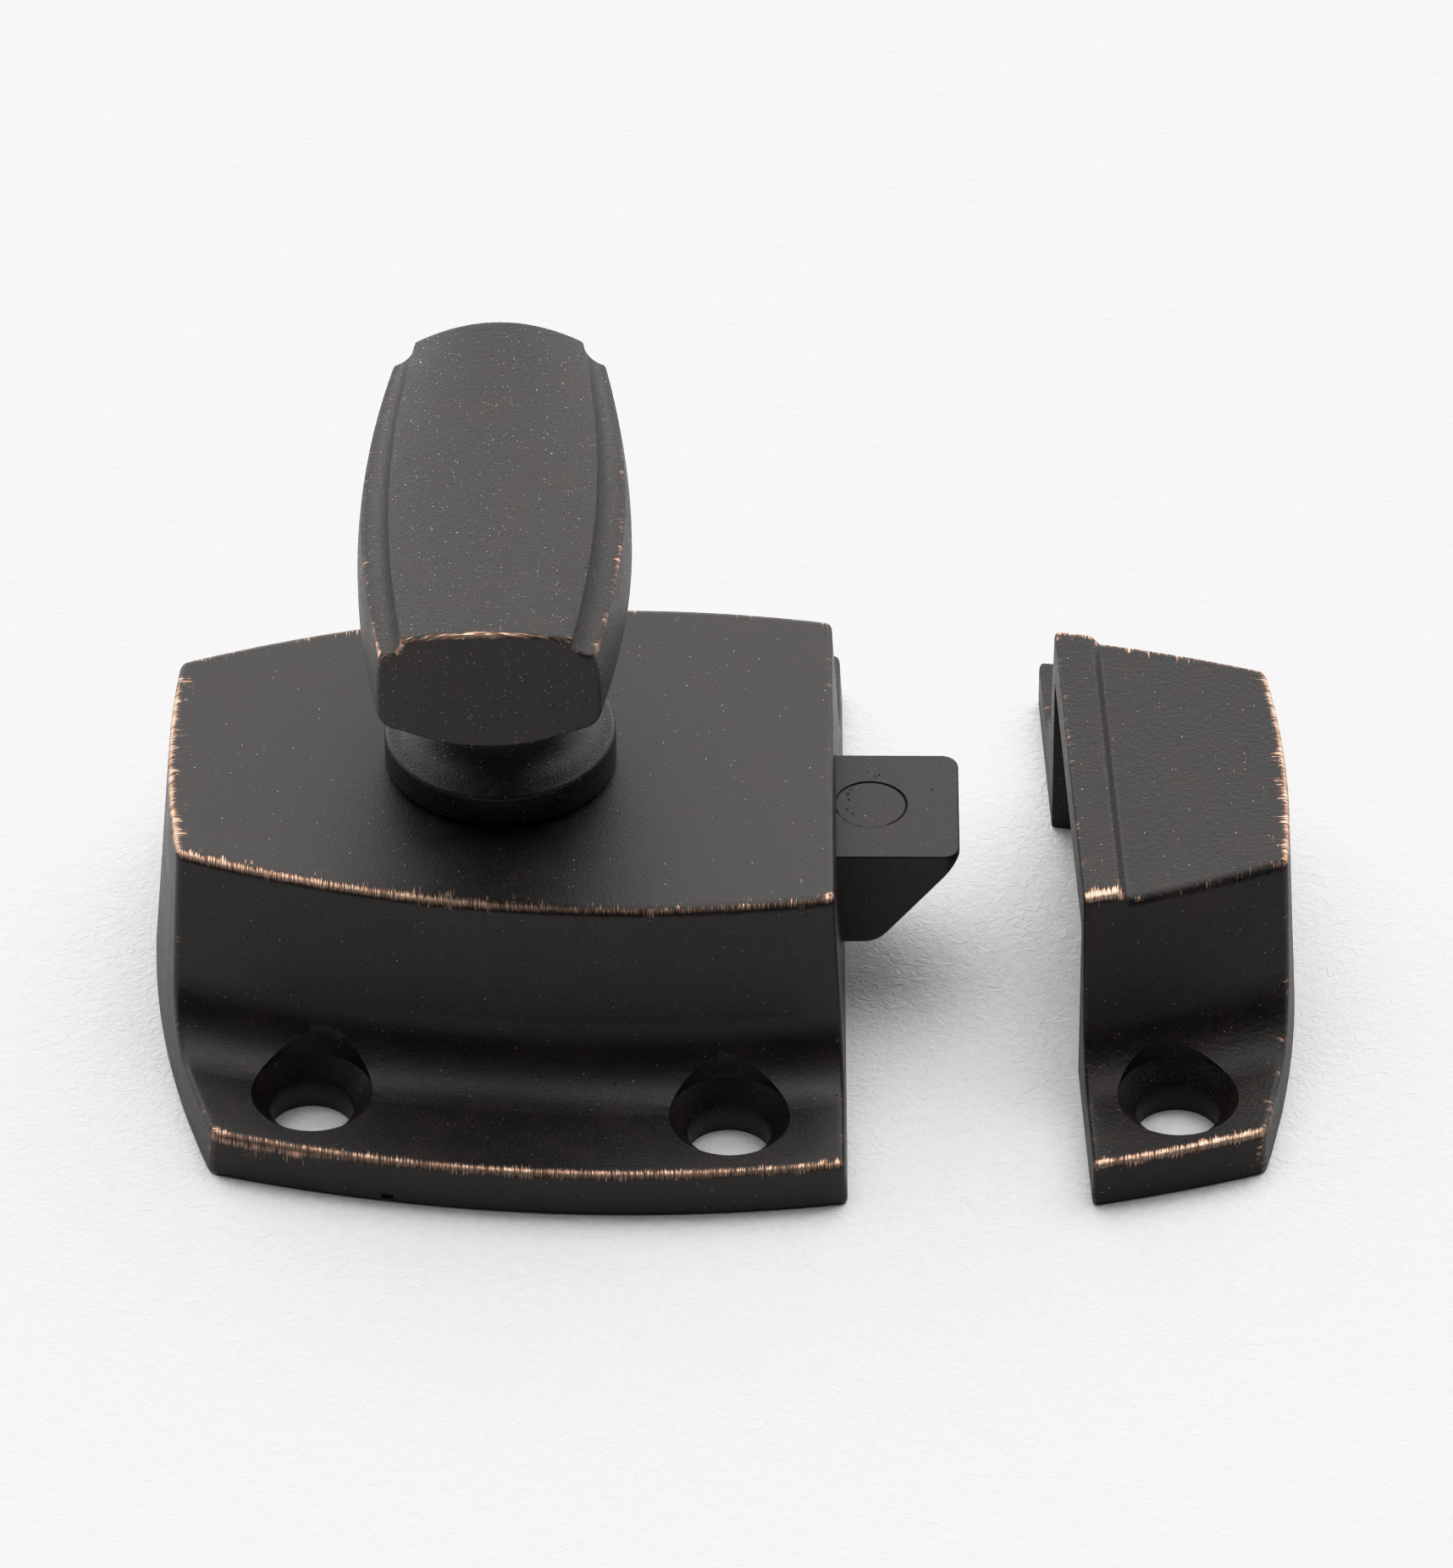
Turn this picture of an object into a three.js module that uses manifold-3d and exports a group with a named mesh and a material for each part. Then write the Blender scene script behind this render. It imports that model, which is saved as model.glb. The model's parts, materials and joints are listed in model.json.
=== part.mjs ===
// Toggle bolt latch for a cupboard: a cast case with a turning toggle knob and a spring
// bolt, and the loose cast strike that the bolt shoots into.
//
// Millimetres, +Z up. The origin is where the spindle's axis meets the mounting plane.
// The bolt shoots along +X. The case's screw flanges lie to the front (-Y) and back (+Y).
import * as THREE from 'three';
import { mergeVertices } from 'three/addons/utils/BufferGeometryUtils.js';
import Module from 'manifold-3d';

const wasm = await Module();
wasm.setup();

// ---------------------------------------------------------------- driving dimensions

// fits
const slidingClearance = 0.15;
const runningClearance = 0.1;
const seatGap = 0.05;
// how far a cutting body runs past the material it cuts
const overrun = 1;

// casting outline, shared by the case and the strike
const caseLength = 41.3;
const caseHeight = 14.34;
const flangeThickness = 3.1;
const flangeHalfDepth = 25.4;
const topHalfDepth = 14.5;
const flangeBowRadius = 81;
const topBowRadius = 66;
const endBowRadius = 66;
const endLean = 0.85;
const wallBatter = THREE.MathUtils.degToRad(9);
const flangeFillet = 4.2;
const edgeRound = 0.4;
const wallThickness = 1.6;
const topThickness = 2.4;

// wood-screw holes in the flanges, set in from the casting's end and from its flange's edge
const screwBore = 5.0;
const screwSink = 7.2;
const screwSinkDepth = 1.1;
const caseHoleRight = { fromEnd: 7.0, fromEdge: 5.5 };
const caseHoleLeft = { fromEnd: 9.55, fromEdge: 7.6 };
const strikeHole = { fromEnd: 5.45, fromEdge: 7.5 };

// back plate and the screws that hold it
const plateThickness = 1.2;
const plateLedge = 1.2;
const plateScrewShank = 1.9;
const plateScrewHead = 3.8;
const plateScrewSlot = 0.5;
const plateScrewBelowPin = 0.5;
const bossRadius = 2.2;
const bossInset = 2.1;
const leftBossSetback = 1.4;

// bolt
const boltWidth = 9.8;
const boltHeight = 6.55;
const boltBottom = 4.2;
const boltReach = 6.7;
const boltCorner = 1.0;
const boltEdge = 0.25;
const bevelLength = 4.6;
const bevelLand = 0.45;
const tailThickness = 2.2;
const lugThickness = 3.0;
const armRoot = 1.0;
const lugInboard = 1.5;
const lugOutboard = 2.0;

// toggle's turn, the cam it turns and the spindle between them
const knobTurn = THREE.MathUtils.degToRad(72);
const camBaseRadius = 6.0;
const camStartRoll = 0.4;
const camEndRoll = 0.3;
const camLobeThickness = 3.0;
const camLobeSpread = THREE.MathUtils.degToRad(26);
const camHubRadius = 4.2;
const hubToBlock = 0.7;
const spindleDiameter = 5.0;
const spindleSquare = 3.6;
const spindleInKnob = 9.0;
const camScrewShank = 2.0;
const camScrewHead = 4.8;
const camScrewHeadHeight = 1.2;
const camScrewLength = 5.0;
const camScrewSlot = 0.6;
const camScrewSlotDepth = 0.5;
const camWasherThickness = 0.4;
const camWasherInset = 1.0;
const bushWall = 1.1;
const bushFlange = 1.2;
const bushFlangeThickness = 0.9;
const waveWasherThickness = 0.3;
const waveWasherWidth = 1.0;

// bolt spring and its guide pin
const springDiameter = 4.2;
const springWire = 0.5;
const springTurns = 8;
const springClosedShare = 0.08;
const guidePinDiameter = 2.0;
const guidePinHeight = 5.7;
const guidePinInBoss = 2.6;
const guidePinBeyondTab = 1.9;
const springTabThickness = 1.6;
const springTabSetback = 2.8;

// toggle knob: one casting of disc, neck and head
const knobWasherThickness = 0.3;
const knobWasherInset = 1.2;
const knobDiscRadius = 6.9;
const knobDiscHeight = 2.1;
const knobRimRound = 0.3;
const knobRimLand = 0.25;
const knobNeckRadius = 3.6;
const knobCoveHeight = 4.2;
const knobFlareRadius = 2.6;
const knobHeadClearHeight = 12.4;
const knobHeadLength = 30.2;
const knobHeadHeight = 8.5;
const knobTopHalfWidth = 6.15;
const knobShoulderHalfWidth = 7.75;
const knobSideHalfWidth = 8.1;
const knobSideBulge = 0.1;
const knobSideBulgeRise = 1.0;
const knobCrown = 1.0;
const knobCoveDepth = 1.45;
const knobUnderCrown = 0.8;
const knobLowerRound = 1.1;
const knobEndTaper = 0.19;
const knobEndBowRadius = 18.5;
const knobLean = THREE.MathUtils.degToRad(1.4);
const knobRestTurn = THREE.MathUtils.degToRad(-1.2);

// strike
const strikeLength = 13.6;
const strikeBowRadius = 74;
const strikeEndLean = 0.65;
const strikeRidgeWidth = 2.25;
const strikeRidgeDrop = 0.65;
const strikeClosedGap = 1.0;
const strikeSwing = THREE.MathUtils.degToRad(3.05);
const strikePole = { x: 33.4, y: 229 };

// facets
const bowSteps = 12;
const arcSegments = 4;
const roundSegments = 24;
const holeSegments = 20;
const smallSegments = 16;
const wireSegments = 6;
const turnSegments = 12;

// ---------------------------------------------------------------- derived places

const caseRight = caseLength / 2;
const caseLeft = -caseLength / 2;
const strikeLeft = caseRight + strikeClosedGap;
const strikeRight = strikeLeft + strikeLength;
const bowCentre = (caseLeft + strikeRight) / 2;

const ceiling = caseHeight - topThickness;
const innerRight = caseRight - endLean - wallThickness;
const innerLeftMiddle = caseLeft + endLean + wallThickness;
const plateFloor = plateThickness;

const plateScrewLength = guidePinHeight - guidePinDiameter / 2 - plateScrewBelowPin;

const travel = camBaseRadius * knobTurn;
const boltTip = caseRight + boltReach;
const boltTop = boltBottom + boltHeight;
const tailBottom = plateFloor + slidingClearance;
const tailTop = tailBottom + tailThickness;
const blockLeft = camHubRadius + hubToBlock + travel;

const camScrewHeadBottom = tailTop - camScrewHeadHeight;
const camWasherBottom = camScrewHeadBottom + camScrewHeadHeight;
const camBottom = camWasherBottom + camWasherThickness;
const camTop = camBottom + camLobeThickness;
const bushFlangeBottom = ceiling - bushFlangeThickness;
const hubTop = bushFlangeBottom - waveWasherThickness - slidingClearance;
const bushOuter = spindleDiameter / 2 + runningClearance + bushWall;
const knobWasherTop = caseHeight + knobWasherThickness;
const knobBase = knobWasherTop + seatGap;

const leftBoss = { x: innerLeftMiddle + bossInset + leftBossSetback };
leftBoss.y = innerHalfDepth(leftBoss.x) - bossInset;
const rightBoss = { x: innerRight - bossInset };
rightBoss.y = innerHalfDepth(rightBoss.x) - bossInset;

const springSeat = leftBoss.x + bossRadius;
const springTabLeft = blockLeft - springTabSetback - springTabThickness;
const springLine = -leftBoss.y;

// half depth of the hollow inside the case and the strike, at a place along the bolt
function innerHalfDepth(x) {
  const outerAtCeiling = topHalfDepth + Math.tan(wallBatter) * topThickness;
  const inner = outerAtCeiling - wallThickness / Math.cos(wallBatter);
  return inner - (x - bowCentre) ** 2 / (2 * topBowRadius);
}

// ---------------------------------------------------------------- solids

// A closed three.js geometry as a solid that can be joined and cut.
function solid(geometry) {
  const bare = geometry.clone();
  bare.deleteAttribute('normal');
  bare.deleteAttribute('uv');
  const merged = mergeVertices(bare, 1e-5);
  const triVerts = Uint32Array.from(merged.index.array);
  const vertProperties = Float32Array.from(merged.attributes.position.array);
  const made = new wasm.Manifold(new wasm.Mesh({ numProp: 3, vertProperties, triVerts }));
  if (made.volume() > 0) return made;
  for (let i = 0; i < triVerts.length; i += 3) {
    [triVerts[i], triVerts[i + 1]] = [triVerts[i + 1], triVerts[i]];
  }
  return new wasm.Manifold(new wasm.Mesh({ numProp: 3, vertProperties, triVerts }));
}

function geometryOf(body) {
  const mesh = body.getMesh();
  const geometry = new THREE.BufferGeometry();
  geometry.setAttribute('position', new THREE.BufferAttribute(mesh.vertProperties, 3));
  geometry.setIndex(new THREE.BufferAttribute(mesh.triVerts, 1));
  geometry.computeVertexNormals();
  return geometry;
}

function box(x0, x1, y0, y1, z0, z1) {
  const geometry = new THREE.BoxGeometry(x1 - x0, y1 - y0, z1 - z0);
  geometry.translate((x0 + x1) / 2, (y0 + y1) / 2, (z0 + z1) / 2);
  return solid(geometry);
}

// A solid of revolution about a vertical axis, from (radius, height) pairs.
function turned(profile, x = 0, y = 0, segments = roundSegments) {
  const points = profile.map(([r, z]) => new THREE.Vector2(r, z));
  const geometry = new THREE.LatheGeometry(points, segments);
  geometry.rotateX(Math.PI / 2);
  geometry.translate(x, y, 0);
  return solid(geometry);
}

function disc(radius, z0, z1, x = 0, y = 0, segments = roundSegments) {
  return turned([[0, z0], [radius, z0], [radius, z1], [0, z1]], x, y, segments);
}

function ring(inner, outer, z0, z1) {
  return disc(outer, z0, z1).subtract(disc(inner, z0 - overrun, z1 + overrun));
}

// A flat outline in X and Y, raised from z0 to z1.
function raised(shape, z0, z1, steps = 1) {
  const depth = z1 - z0;
  const geometry = new THREE.ExtrudeGeometry(shape, { depth, steps, bevelEnabled: false });
  geometry.translate(0, 0, z0);
  return geometry;
}

// An outline in Y and Z, run along the bolt from x0 to x1.
function runAlongX(shape, x0, x1, steps = 1) {
  const depth = x1 - x0;
  const geometry = new THREE.ExtrudeGeometry(shape, { depth, steps, bevelEnabled: false });
  const axes = [new THREE.Vector3(0, 1, 0), new THREE.Vector3(0, 0, 1), new THREE.Vector3(1, 0, 0)];
  geometry.applyMatrix4(new THREE.Matrix4().makeBasis(...axes));
  geometry.translate(x0, 0, 0);
  return geometry;
}

function rodAlongX(radius, x0, x1, y, z, segments = smallSegments) {
  const circle = new THREE.Path().absarc(y, z, radius, 0, 2 * Math.PI);
  return solid(runAlongX(new THREE.Shape(curvePoints(circle, segments)), x0, x1));
}

function moveVertices(geometry, change) {
  const places = geometry.attributes.position;
  const vertex = new THREE.Vector3();
  for (let i = 0; i < places.count; i += 1) {
    vertex.fromBufferAttribute(places, i);
    change(vertex);
    places.setXYZ(i, vertex.x, vertex.y, vertex.z);
  }
  return geometry;
}

// Points along a path, with so many segments to each of its arcs.
function curvePoints(path, segments) {
  const pointsPerArcHalf = segments / 2;
  return path.getPoints(pointsPerArcHalf);
}

// A half outline mirrored about the vertical centre line and closed.
function mirroredShape(halfPoints) {
  const otherHalf = halfPoints.slice().reverse().map((p) => new THREE.Vector2(-p.x, p.y));
  return new THREE.Shape([...halfPoints, ...otherHalf]);
}

// ---------------------------------------------------------------- the casting's shape

// Section across the bolt: flange, concave sweep, battered wall and top plate.
function castingSection(height) {
  const wallTop = topHalfDepth + Math.tan(wallBatter) * (caseHeight - height);
  const filletHeight = flangeThickness + flangeFillet;
  const wallAtFillet = wallTop + Math.tan(wallBatter) * (height - filletHeight);
  const filletCentre = wallAtFillet + flangeFillet / Math.cos(wallBatter);
  const topSetback = edgeRound / Math.tan(Math.PI / 4 + wallBatter / 2);
  const half = new THREE.Path();
  half.moveTo(flangeHalfDepth, 0);
  half.lineTo(flangeHalfDepth, flangeThickness - edgeRound);
  half.absarc(flangeHalfDepth - edgeRound, flangeThickness - edgeRound, edgeRound, 0, Math.PI / 2);
  half.absarc(filletCentre, filletHeight, flangeFillet, 1.5 * Math.PI, Math.PI + wallBatter, true);
  half.absarc(wallTop - topSetback, height - edgeRound, edgeRound, wallBatter, Math.PI / 2);
  return mirroredShape(curvePoints(half, arcSegments));
}

// The section run along X, bowed so that it is deepest at the middle of the closed pair.
function bowedCasting(height, x0, x1, steps) {
  const geometry = runAlongX(castingSection(height), x0, x1, steps);
  moveVertices(geometry, (v) => {
    const flangeBow = 1 / flangeBowRadius;
    const topBow = 1 / topBowRadius;
    const bow = flangeBow + (topBow - flangeBow) * v.z / caseHeight;
    v.y -= Math.sign(v.y) * bow * (v.x - bowCentre) ** 2 / 2;
  });
  return solid(geometry);
}

// A block whose two ends trim the run: a bowed or straight end, leaning in towards the top.
function endTrim(left, right, leftBow, rightBow, leftLean, rightLean) {
  const reach = flangeHalfDepth + overrun;
  const outline = [];
  const leftSteps = leftBow ? bowSteps : 1;
  for (let i = 0; i <= leftSteps; i += 1) {
    const y = reach - 2 * reach * i / leftSteps;
    outline.push(new THREE.Vector2(left + leftBow * y * y / 2, y));
  }
  const rightSteps = rightBow ? bowSteps : 1;
  for (let i = 0; i <= rightSteps; i += 1) {
    const y = 2 * reach * i / rightSteps - reach;
    outline.push(new THREE.Vector2(right - rightBow * y * y / 2, y));
  }
  const geometry = raised(new THREE.Shape(outline), 0, caseHeight);
  const middle = (left + right) / 2;
  moveVertices(geometry, (v) => {
    const rise = v.z / caseHeight;
    v.x += v.x < middle ? leftLean * rise : -rightLean * rise;
  });
  return solid(geometry);
}

// The hollow's outline in plan, grown outwards by a margin.
function hollowOutline(x0, x1, bowedLeft, margin) {
  const outline = [];
  const corner = innerHalfDepth(x0) + margin;
  const left = (y) => x0 - margin + (bowedLeft ? y * y / (2 * endBowRadius) : 0);
  const steps = bowSteps / 2;
  const endSteps = bowedLeft ? steps : 1;
  for (let i = 0; i <= endSteps; i += 1) {
    const y = corner - 2 * corner * i / endSteps;
    outline.push(new THREE.Vector2(left(y), y));
  }
  const start = left(corner);
  for (let i = 1; i <= steps; i += 1) {
    const x = start + (x1 + margin - start) * i / steps;
    outline.push(new THREE.Vector2(x, -innerHalfDepth(x) - margin));
  }
  for (let i = steps; i >= 1; i -= 1) {
    const x = start + (x1 + margin - start) * i / steps;
    outline.push(new THREE.Vector2(x, innerHalfDepth(x) + margin));
  }
  return new THREE.Shape(outline);
}

// A countersunk wood-screw hole through the flange on one side.
function flangeHole(x, fromEdge, side) {
  const y = side * (flangeHalfDepth - fromEdge);
  const sinkStart = flangeThickness - screwSinkDepth;
  const profile = [
    [0, -overrun],
    [screwBore / 2, -overrun],
    [screwBore / 2, sinkStart],
    [screwSink / 2, flangeThickness],
    [screwSink / 2, caseHeight],
    [0, caseHeight],
  ];
  return turned(profile, x, y, holeSegments);
}

// ---------------------------------------------------------------- case

const frontAndBack = [-1, 1];
const bossPlaces = frontAndBack.flatMap((side) => [
  { x: leftBoss.x, y: side * leftBoss.y },
  { x: rightBoss.x, y: side * rightBoss.y },
]);

function makeCase() {
  const rough = bowedCasting(caseHeight, caseLeft - overrun, caseRight + overrun, bowSteps);
  const trim = endTrim(caseLeft, caseRight, 1 / endBowRadius, 0, endLean, endLean);
  const hollow = solid(raised(
    hollowOutline(innerLeftMiddle, innerRight, true, 0), -overrun, ceiling));
  const rebate = solid(raised(
    hollowOutline(innerLeftMiddle, innerRight, true, plateLedge), -overrun, plateFloor));
  let body = rough.intersect(trim).subtract(hollow);
  for (const { x, y } of bossPlaces) {
    body = body.add(disc(bossRadius, plateFloor / 2, ceiling + topThickness / 2, x, y));
  }
  const seatBlock = box(leftBoss.x, springSeat, springLine - bossRadius, springLine + bossRadius,
    plateFloor / 2, ceiling + topThickness / 2);
  body = body.add(seatBlock).subtract(rebate);
  for (const { x, y } of bossPlaces) {
    const depth = plateScrewLength + slidingClearance;
    body = body.subtract(disc(plateScrewShank / 2 + seatGap, 0, depth, x, y, smallSegments));
  }
  const pinHole = rodAlongX(guidePinDiameter / 2 + seatGap,
    springSeat - guidePinInBoss - seatGap, springSeat + overrun, springLine, guidePinHeight);
  const halfSlot = boltWidth / 2 + slidingClearance;
  const boltSlot = box(innerRight - overrun, caseRight + overrun, -halfSlot, halfSlot,
    boltBottom - slidingClearance, boltTop + slidingClearance);
  const bushHole = disc(bushOuter + seatGap, ceiling - overrun, caseHeight + overrun);
  body = body.subtract(pinHole).subtract(boltSlot).subtract(bushHole);
  for (const side of frontAndBack) {
    const right = caseRight - caseHoleRight.fromEnd;
    const left = caseLeft + caseHoleLeft.fromEnd;
    body = body.subtract(flangeHole(right, caseHoleRight.fromEdge, side));
    body = body.subtract(flangeHole(left, caseHoleLeft.fromEdge, side));
  }
  return body;
}

// ---------------------------------------------------------------- back plate and its screws

function makeBackPlate() {
  const margin = plateLedge - slidingClearance;
  let plate = solid(raised(
    hollowOutline(innerLeftMiddle, innerRight, true, margin), 0, plateThickness - seatGap));
  for (const { x, y } of bossPlaces) {
    const headRadius = plateScrewHead / 2 + slidingClearance;
    const shankRadius = plateScrewShank / 2 + slidingClearance;
    const sink = headRadius - shankRadius;
    const above = plateThickness + overrun;
    const hole = [[0, -overrun], [headRadius, -overrun], [headRadius, 0], [shankRadius, sink],
      [shankRadius, above], [0, above]];
    plate = plate.subtract(turned(hole, x, y, smallSegments));
  }
  return plate;
}

function makePlateScrew() {
  const headRadius = plateScrewHead / 2;
  const shankRadius = plateScrewShank / 2;
  const headDepth = headRadius - shankRadius;
  const profile = [[0, 0], [headRadius, 0], [shankRadius, headDepth],
    [shankRadius, plateScrewLength], [0, plateScrewLength]];
  const slot = box(-headRadius, headRadius, -plateScrewSlot / 2, plateScrewSlot / 2,
    -overrun, headDepth / 2);
  return turned(profile, 0, 0, smallSegments).subtract(slot);
}

// ---------------------------------------------------------------- bolt

function makeBolt() {
  const halfWidth = boltWidth / 2;
  // plan outline of the head, with its two outer corners rounded
  const plan = new THREE.Shape();
  plan.moveTo(blockLeft, -halfWidth);
  plan.lineTo(boltTip - boltCorner, -halfWidth);
  plan.absarc(boltTip - boltCorner, -halfWidth + boltCorner, boltCorner, -Math.PI / 2, 0);
  plan.absarc(boltTip - boltCorner, halfWidth - boltCorner, boltCorner, 0, Math.PI / 2);
  plan.lineTo(blockLeft, halfWidth);
  const rounded = new THREE.Shape(curvePoints(plan, arcSegments));
  const head = solid(raised(rounded, tailBottom, boltTop));

  // side profile in X and Z: a stop shoulder inside the case, and the bevel under the tip
  const shoulderRight = innerRight - slidingClearance;
  const profile = new THREE.Shape([
    new THREE.Vector2(blockLeft - overrun, tailBottom),
    new THREE.Vector2(shoulderRight, tailBottom),
    new THREE.Vector2(shoulderRight, boltBottom),
    new THREE.Vector2(boltTip - boltEdge - bevelLength - edgeRound, boltBottom),
    new THREE.Vector2(boltTip - boltEdge - bevelLength + edgeRound, boltBottom + edgeRound / 2),
    new THREE.Vector2(boltTip - boltEdge, boltTop - bevelLand),
    new THREE.Vector2(boltTip, boltTop - bevelLand + boltEdge / 2),
    new THREE.Vector2(boltTip, boltTop - boltEdge),
    new THREE.Vector2(boltTip - boltEdge, boltTop),
    new THREE.Vector2(blockLeft - overrun, boltTop),
  ]);
  const side = raised(profile, -halfWidth, halfWidth);
  side.rotateX(Math.PI / 2);
  let bolt = head.intersect(solid(side));

  // two arms on the tail: one carries the lug that the cam pushes, one the spring's tab
  const lugLine = camBaseRadius;
  const lugRight = -camStartRoll - slidingClearance;
  const lugLeft = lugRight - lugThickness;
  const lugNear = lugLine - lugInboard;
  const lugFar = lugLine + lugOutboard;
  bolt = bolt.add(box(lugLeft, blockLeft + armRoot, lugNear, lugFar, tailBottom, tailTop));
  bolt = bolt.add(box(blockLeft, blockLeft + armRoot, 0, lugFar, tailBottom, tailTop));
  bolt = bolt.add(box(lugLeft, lugRight, lugNear, lugFar, tailBottom, camTop));
  const tabNear = springLine + springDiameter / 2 - springWire;
  const tabFar = springLine - springDiameter / 2;
  const tabRight = springTabLeft + springTabThickness;
  const tabTop = guidePinHeight + springDiameter / 2;
  bolt = bolt.add(box(springTabLeft, blockLeft + armRoot, tabFar, tabNear, tailBottom, tailTop));
  bolt = bolt.add(box(blockLeft, blockLeft + armRoot, tabFar, 0, tailBottom, tailTop));
  bolt = bolt.add(box(springTabLeft, tabRight, tabFar, tabNear, tailBottom, tabTop));
  const pinWay = rodAlongX(guidePinDiameter / 2 + slidingClearance,
    springTabLeft - overrun, tabRight + overrun, springLine, guidePinHeight);
  return bolt.subtract(pinWay);
}

// ---------------------------------------------------------------- bolt spring and guide pin

class SpringLine extends THREE.Curve {
  getPoint(t) {
    const radius = (springDiameter - springWire) / 2;
    const start = springSeat + seatGap + springWire / 2;
    const end = springTabLeft - seatGap - springWire / 2;
    const closed = springClosedShare / 2;
    const spread = THREE.MathUtils.smoothstep(t, closed, 1 - closed);
    const rise = THREE.MathUtils.lerp(t, spread, 0.5);
    const turn = 2 * Math.PI * springTurns * t;
    return new THREE.Vector3(
      start + (end - start) * rise,
      springLine + radius * Math.cos(turn),
      guidePinHeight + radius * Math.sin(turn));
  }
}

function makeSpring() {
  const circle = new THREE.Path().absarc(0, 0, springWire / 2, 0, 2 * Math.PI);
  const wire = new THREE.Shape(curvePoints(circle, wireSegments));
  const options = { steps: springTurns * turnSegments, extrudePath: new SpringLine() };
  return solid(new THREE.ExtrudeGeometry(wire, { ...options, bevelEnabled: false }));
}

function makeGuidePin() {
  const start = springSeat - guidePinInBoss;
  const end = springTabLeft + springTabThickness + guidePinBeyondTab;
  return rodAlongX(guidePinDiameter / 2, start, end, springLine, guidePinHeight);
}

// ---------------------------------------------------------------- cam, spindle and bush

// The flank is an involute, so a turn of the knob draws the bolt in by an even amount.
function makeCam() {
  const lobe = [];
  const endRoll = camStartRoll + travel + camEndRoll;
  const flankStart = Math.PI / 2 + camStartRoll / camBaseRadius;
  const flankSteps = 14;
  for (let i = 0; i <= flankSteps; i += 1) {
    const roll = camStartRoll + (endRoll - camStartRoll) * i / flankSteps;
    const unwind = (roll - camStartRoll) / camBaseRadius;
    const point = new THREE.Vector2(-roll, camBaseRadius);
    point.rotateAround(new THREE.Vector2(), -unwind);
    lobe.push(point);
  }
  const tip = lobe[flankSteps];
  for (let i = 1; i <= arcSegments; i += 1) {
    const step = -camLobeSpread * i / arcSegments;
    lobe.push(tip.clone().rotateAround(new THREE.Vector2(), step));
  }
  const hubBack = flankStart - Math.PI / 2 + camLobeSpread / 2;
  lobe.push(new THREE.Vector2(camHubRadius * Math.cos(hubBack), camHubRadius * Math.sin(hubBack)));
  lobe.push(new THREE.Vector2(0, 0));
  const hubFront = new THREE.Vector2(Math.cos(flankStart), Math.sin(flankStart));
  lobe.push(hubFront.multiplyScalar(camHubRadius / 2));
  const flank = solid(raised(new THREE.Shape(lobe), camBottom, camTop));
  const hub = disc(camHubRadius, camBottom, hubTop);
  const half = spindleSquare / 2 + seatGap;
  const squareHole = box(-half, half, -half, half, camBottom - overrun, camTop);
  const roundHole = disc(spindleDiameter / 2 + seatGap, camTop - seatGap, hubTop + overrun);
  return flank.add(hub).subtract(squareHole).subtract(roundHole);
}


function makeSpindle() {
  const shaft = disc(spindleDiameter / 2, camTop, knobBase + spindleInKnob);
  const half = spindleSquare / 2;
  const square = box(-half, half, -half, half, camBottom + seatGap, camTop + seatGap);
  const thread = disc(camScrewShank / 2 + seatGap, camBottom - overrun, camBottom + camScrewLength);
  return shaft.add(square).subtract(thread);
}

function makeCamWasher() {
  const outer = camHubRadius - camWasherInset;
  const inner = camScrewShank / 2 + runningClearance;
  return ring(inner, outer, camWasherBottom + seatGap / 2, camBottom - seatGap / 2);
}

function makeCamScrew() {
  const shankTop = camBottom + camScrewLength - camWasherThickness - runningClearance;
  const head = disc(camScrewHead / 2, camScrewHeadBottom, camWasherBottom);
  const shank = disc(camScrewShank / 2, camScrewHeadBottom, shankTop, 0, 0, smallSegments);
  const slot = box(-camScrewHead, camScrewHead, -camScrewSlot / 2, camScrewSlot / 2,
    camScrewHeadBottom - overrun, camScrewHeadBottom + camScrewSlotDepth);
  return head.add(shank).subtract(slot);
}

function makeBush() {
  const inner = spindleDiameter / 2 + runningClearance;
  const flangeRadius = bushOuter + bushFlange;
  const tube = ring(inner, bushOuter, bushFlangeBottom, caseHeight - seatGap);
  const flange = ring(inner, flangeRadius, bushFlangeBottom, ceiling - seatGap);
  return tube.add(flange);
}

function makeWaveWasher() {
  const inner = spindleDiameter / 2 + runningClearance;
  const bottom = hubTop + seatGap;
  return ring(inner, inner + waveWasherWidth, bottom, bottom + waveWasherThickness);
}

function makeKnobWasher() {
  const inner = spindleDiameter / 2 + runningClearance;
  return ring(inner, knobDiscRadius - knobWasherInset, caseHeight, knobWasherTop);
}

// ---------------------------------------------------------------- toggle knob

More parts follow.
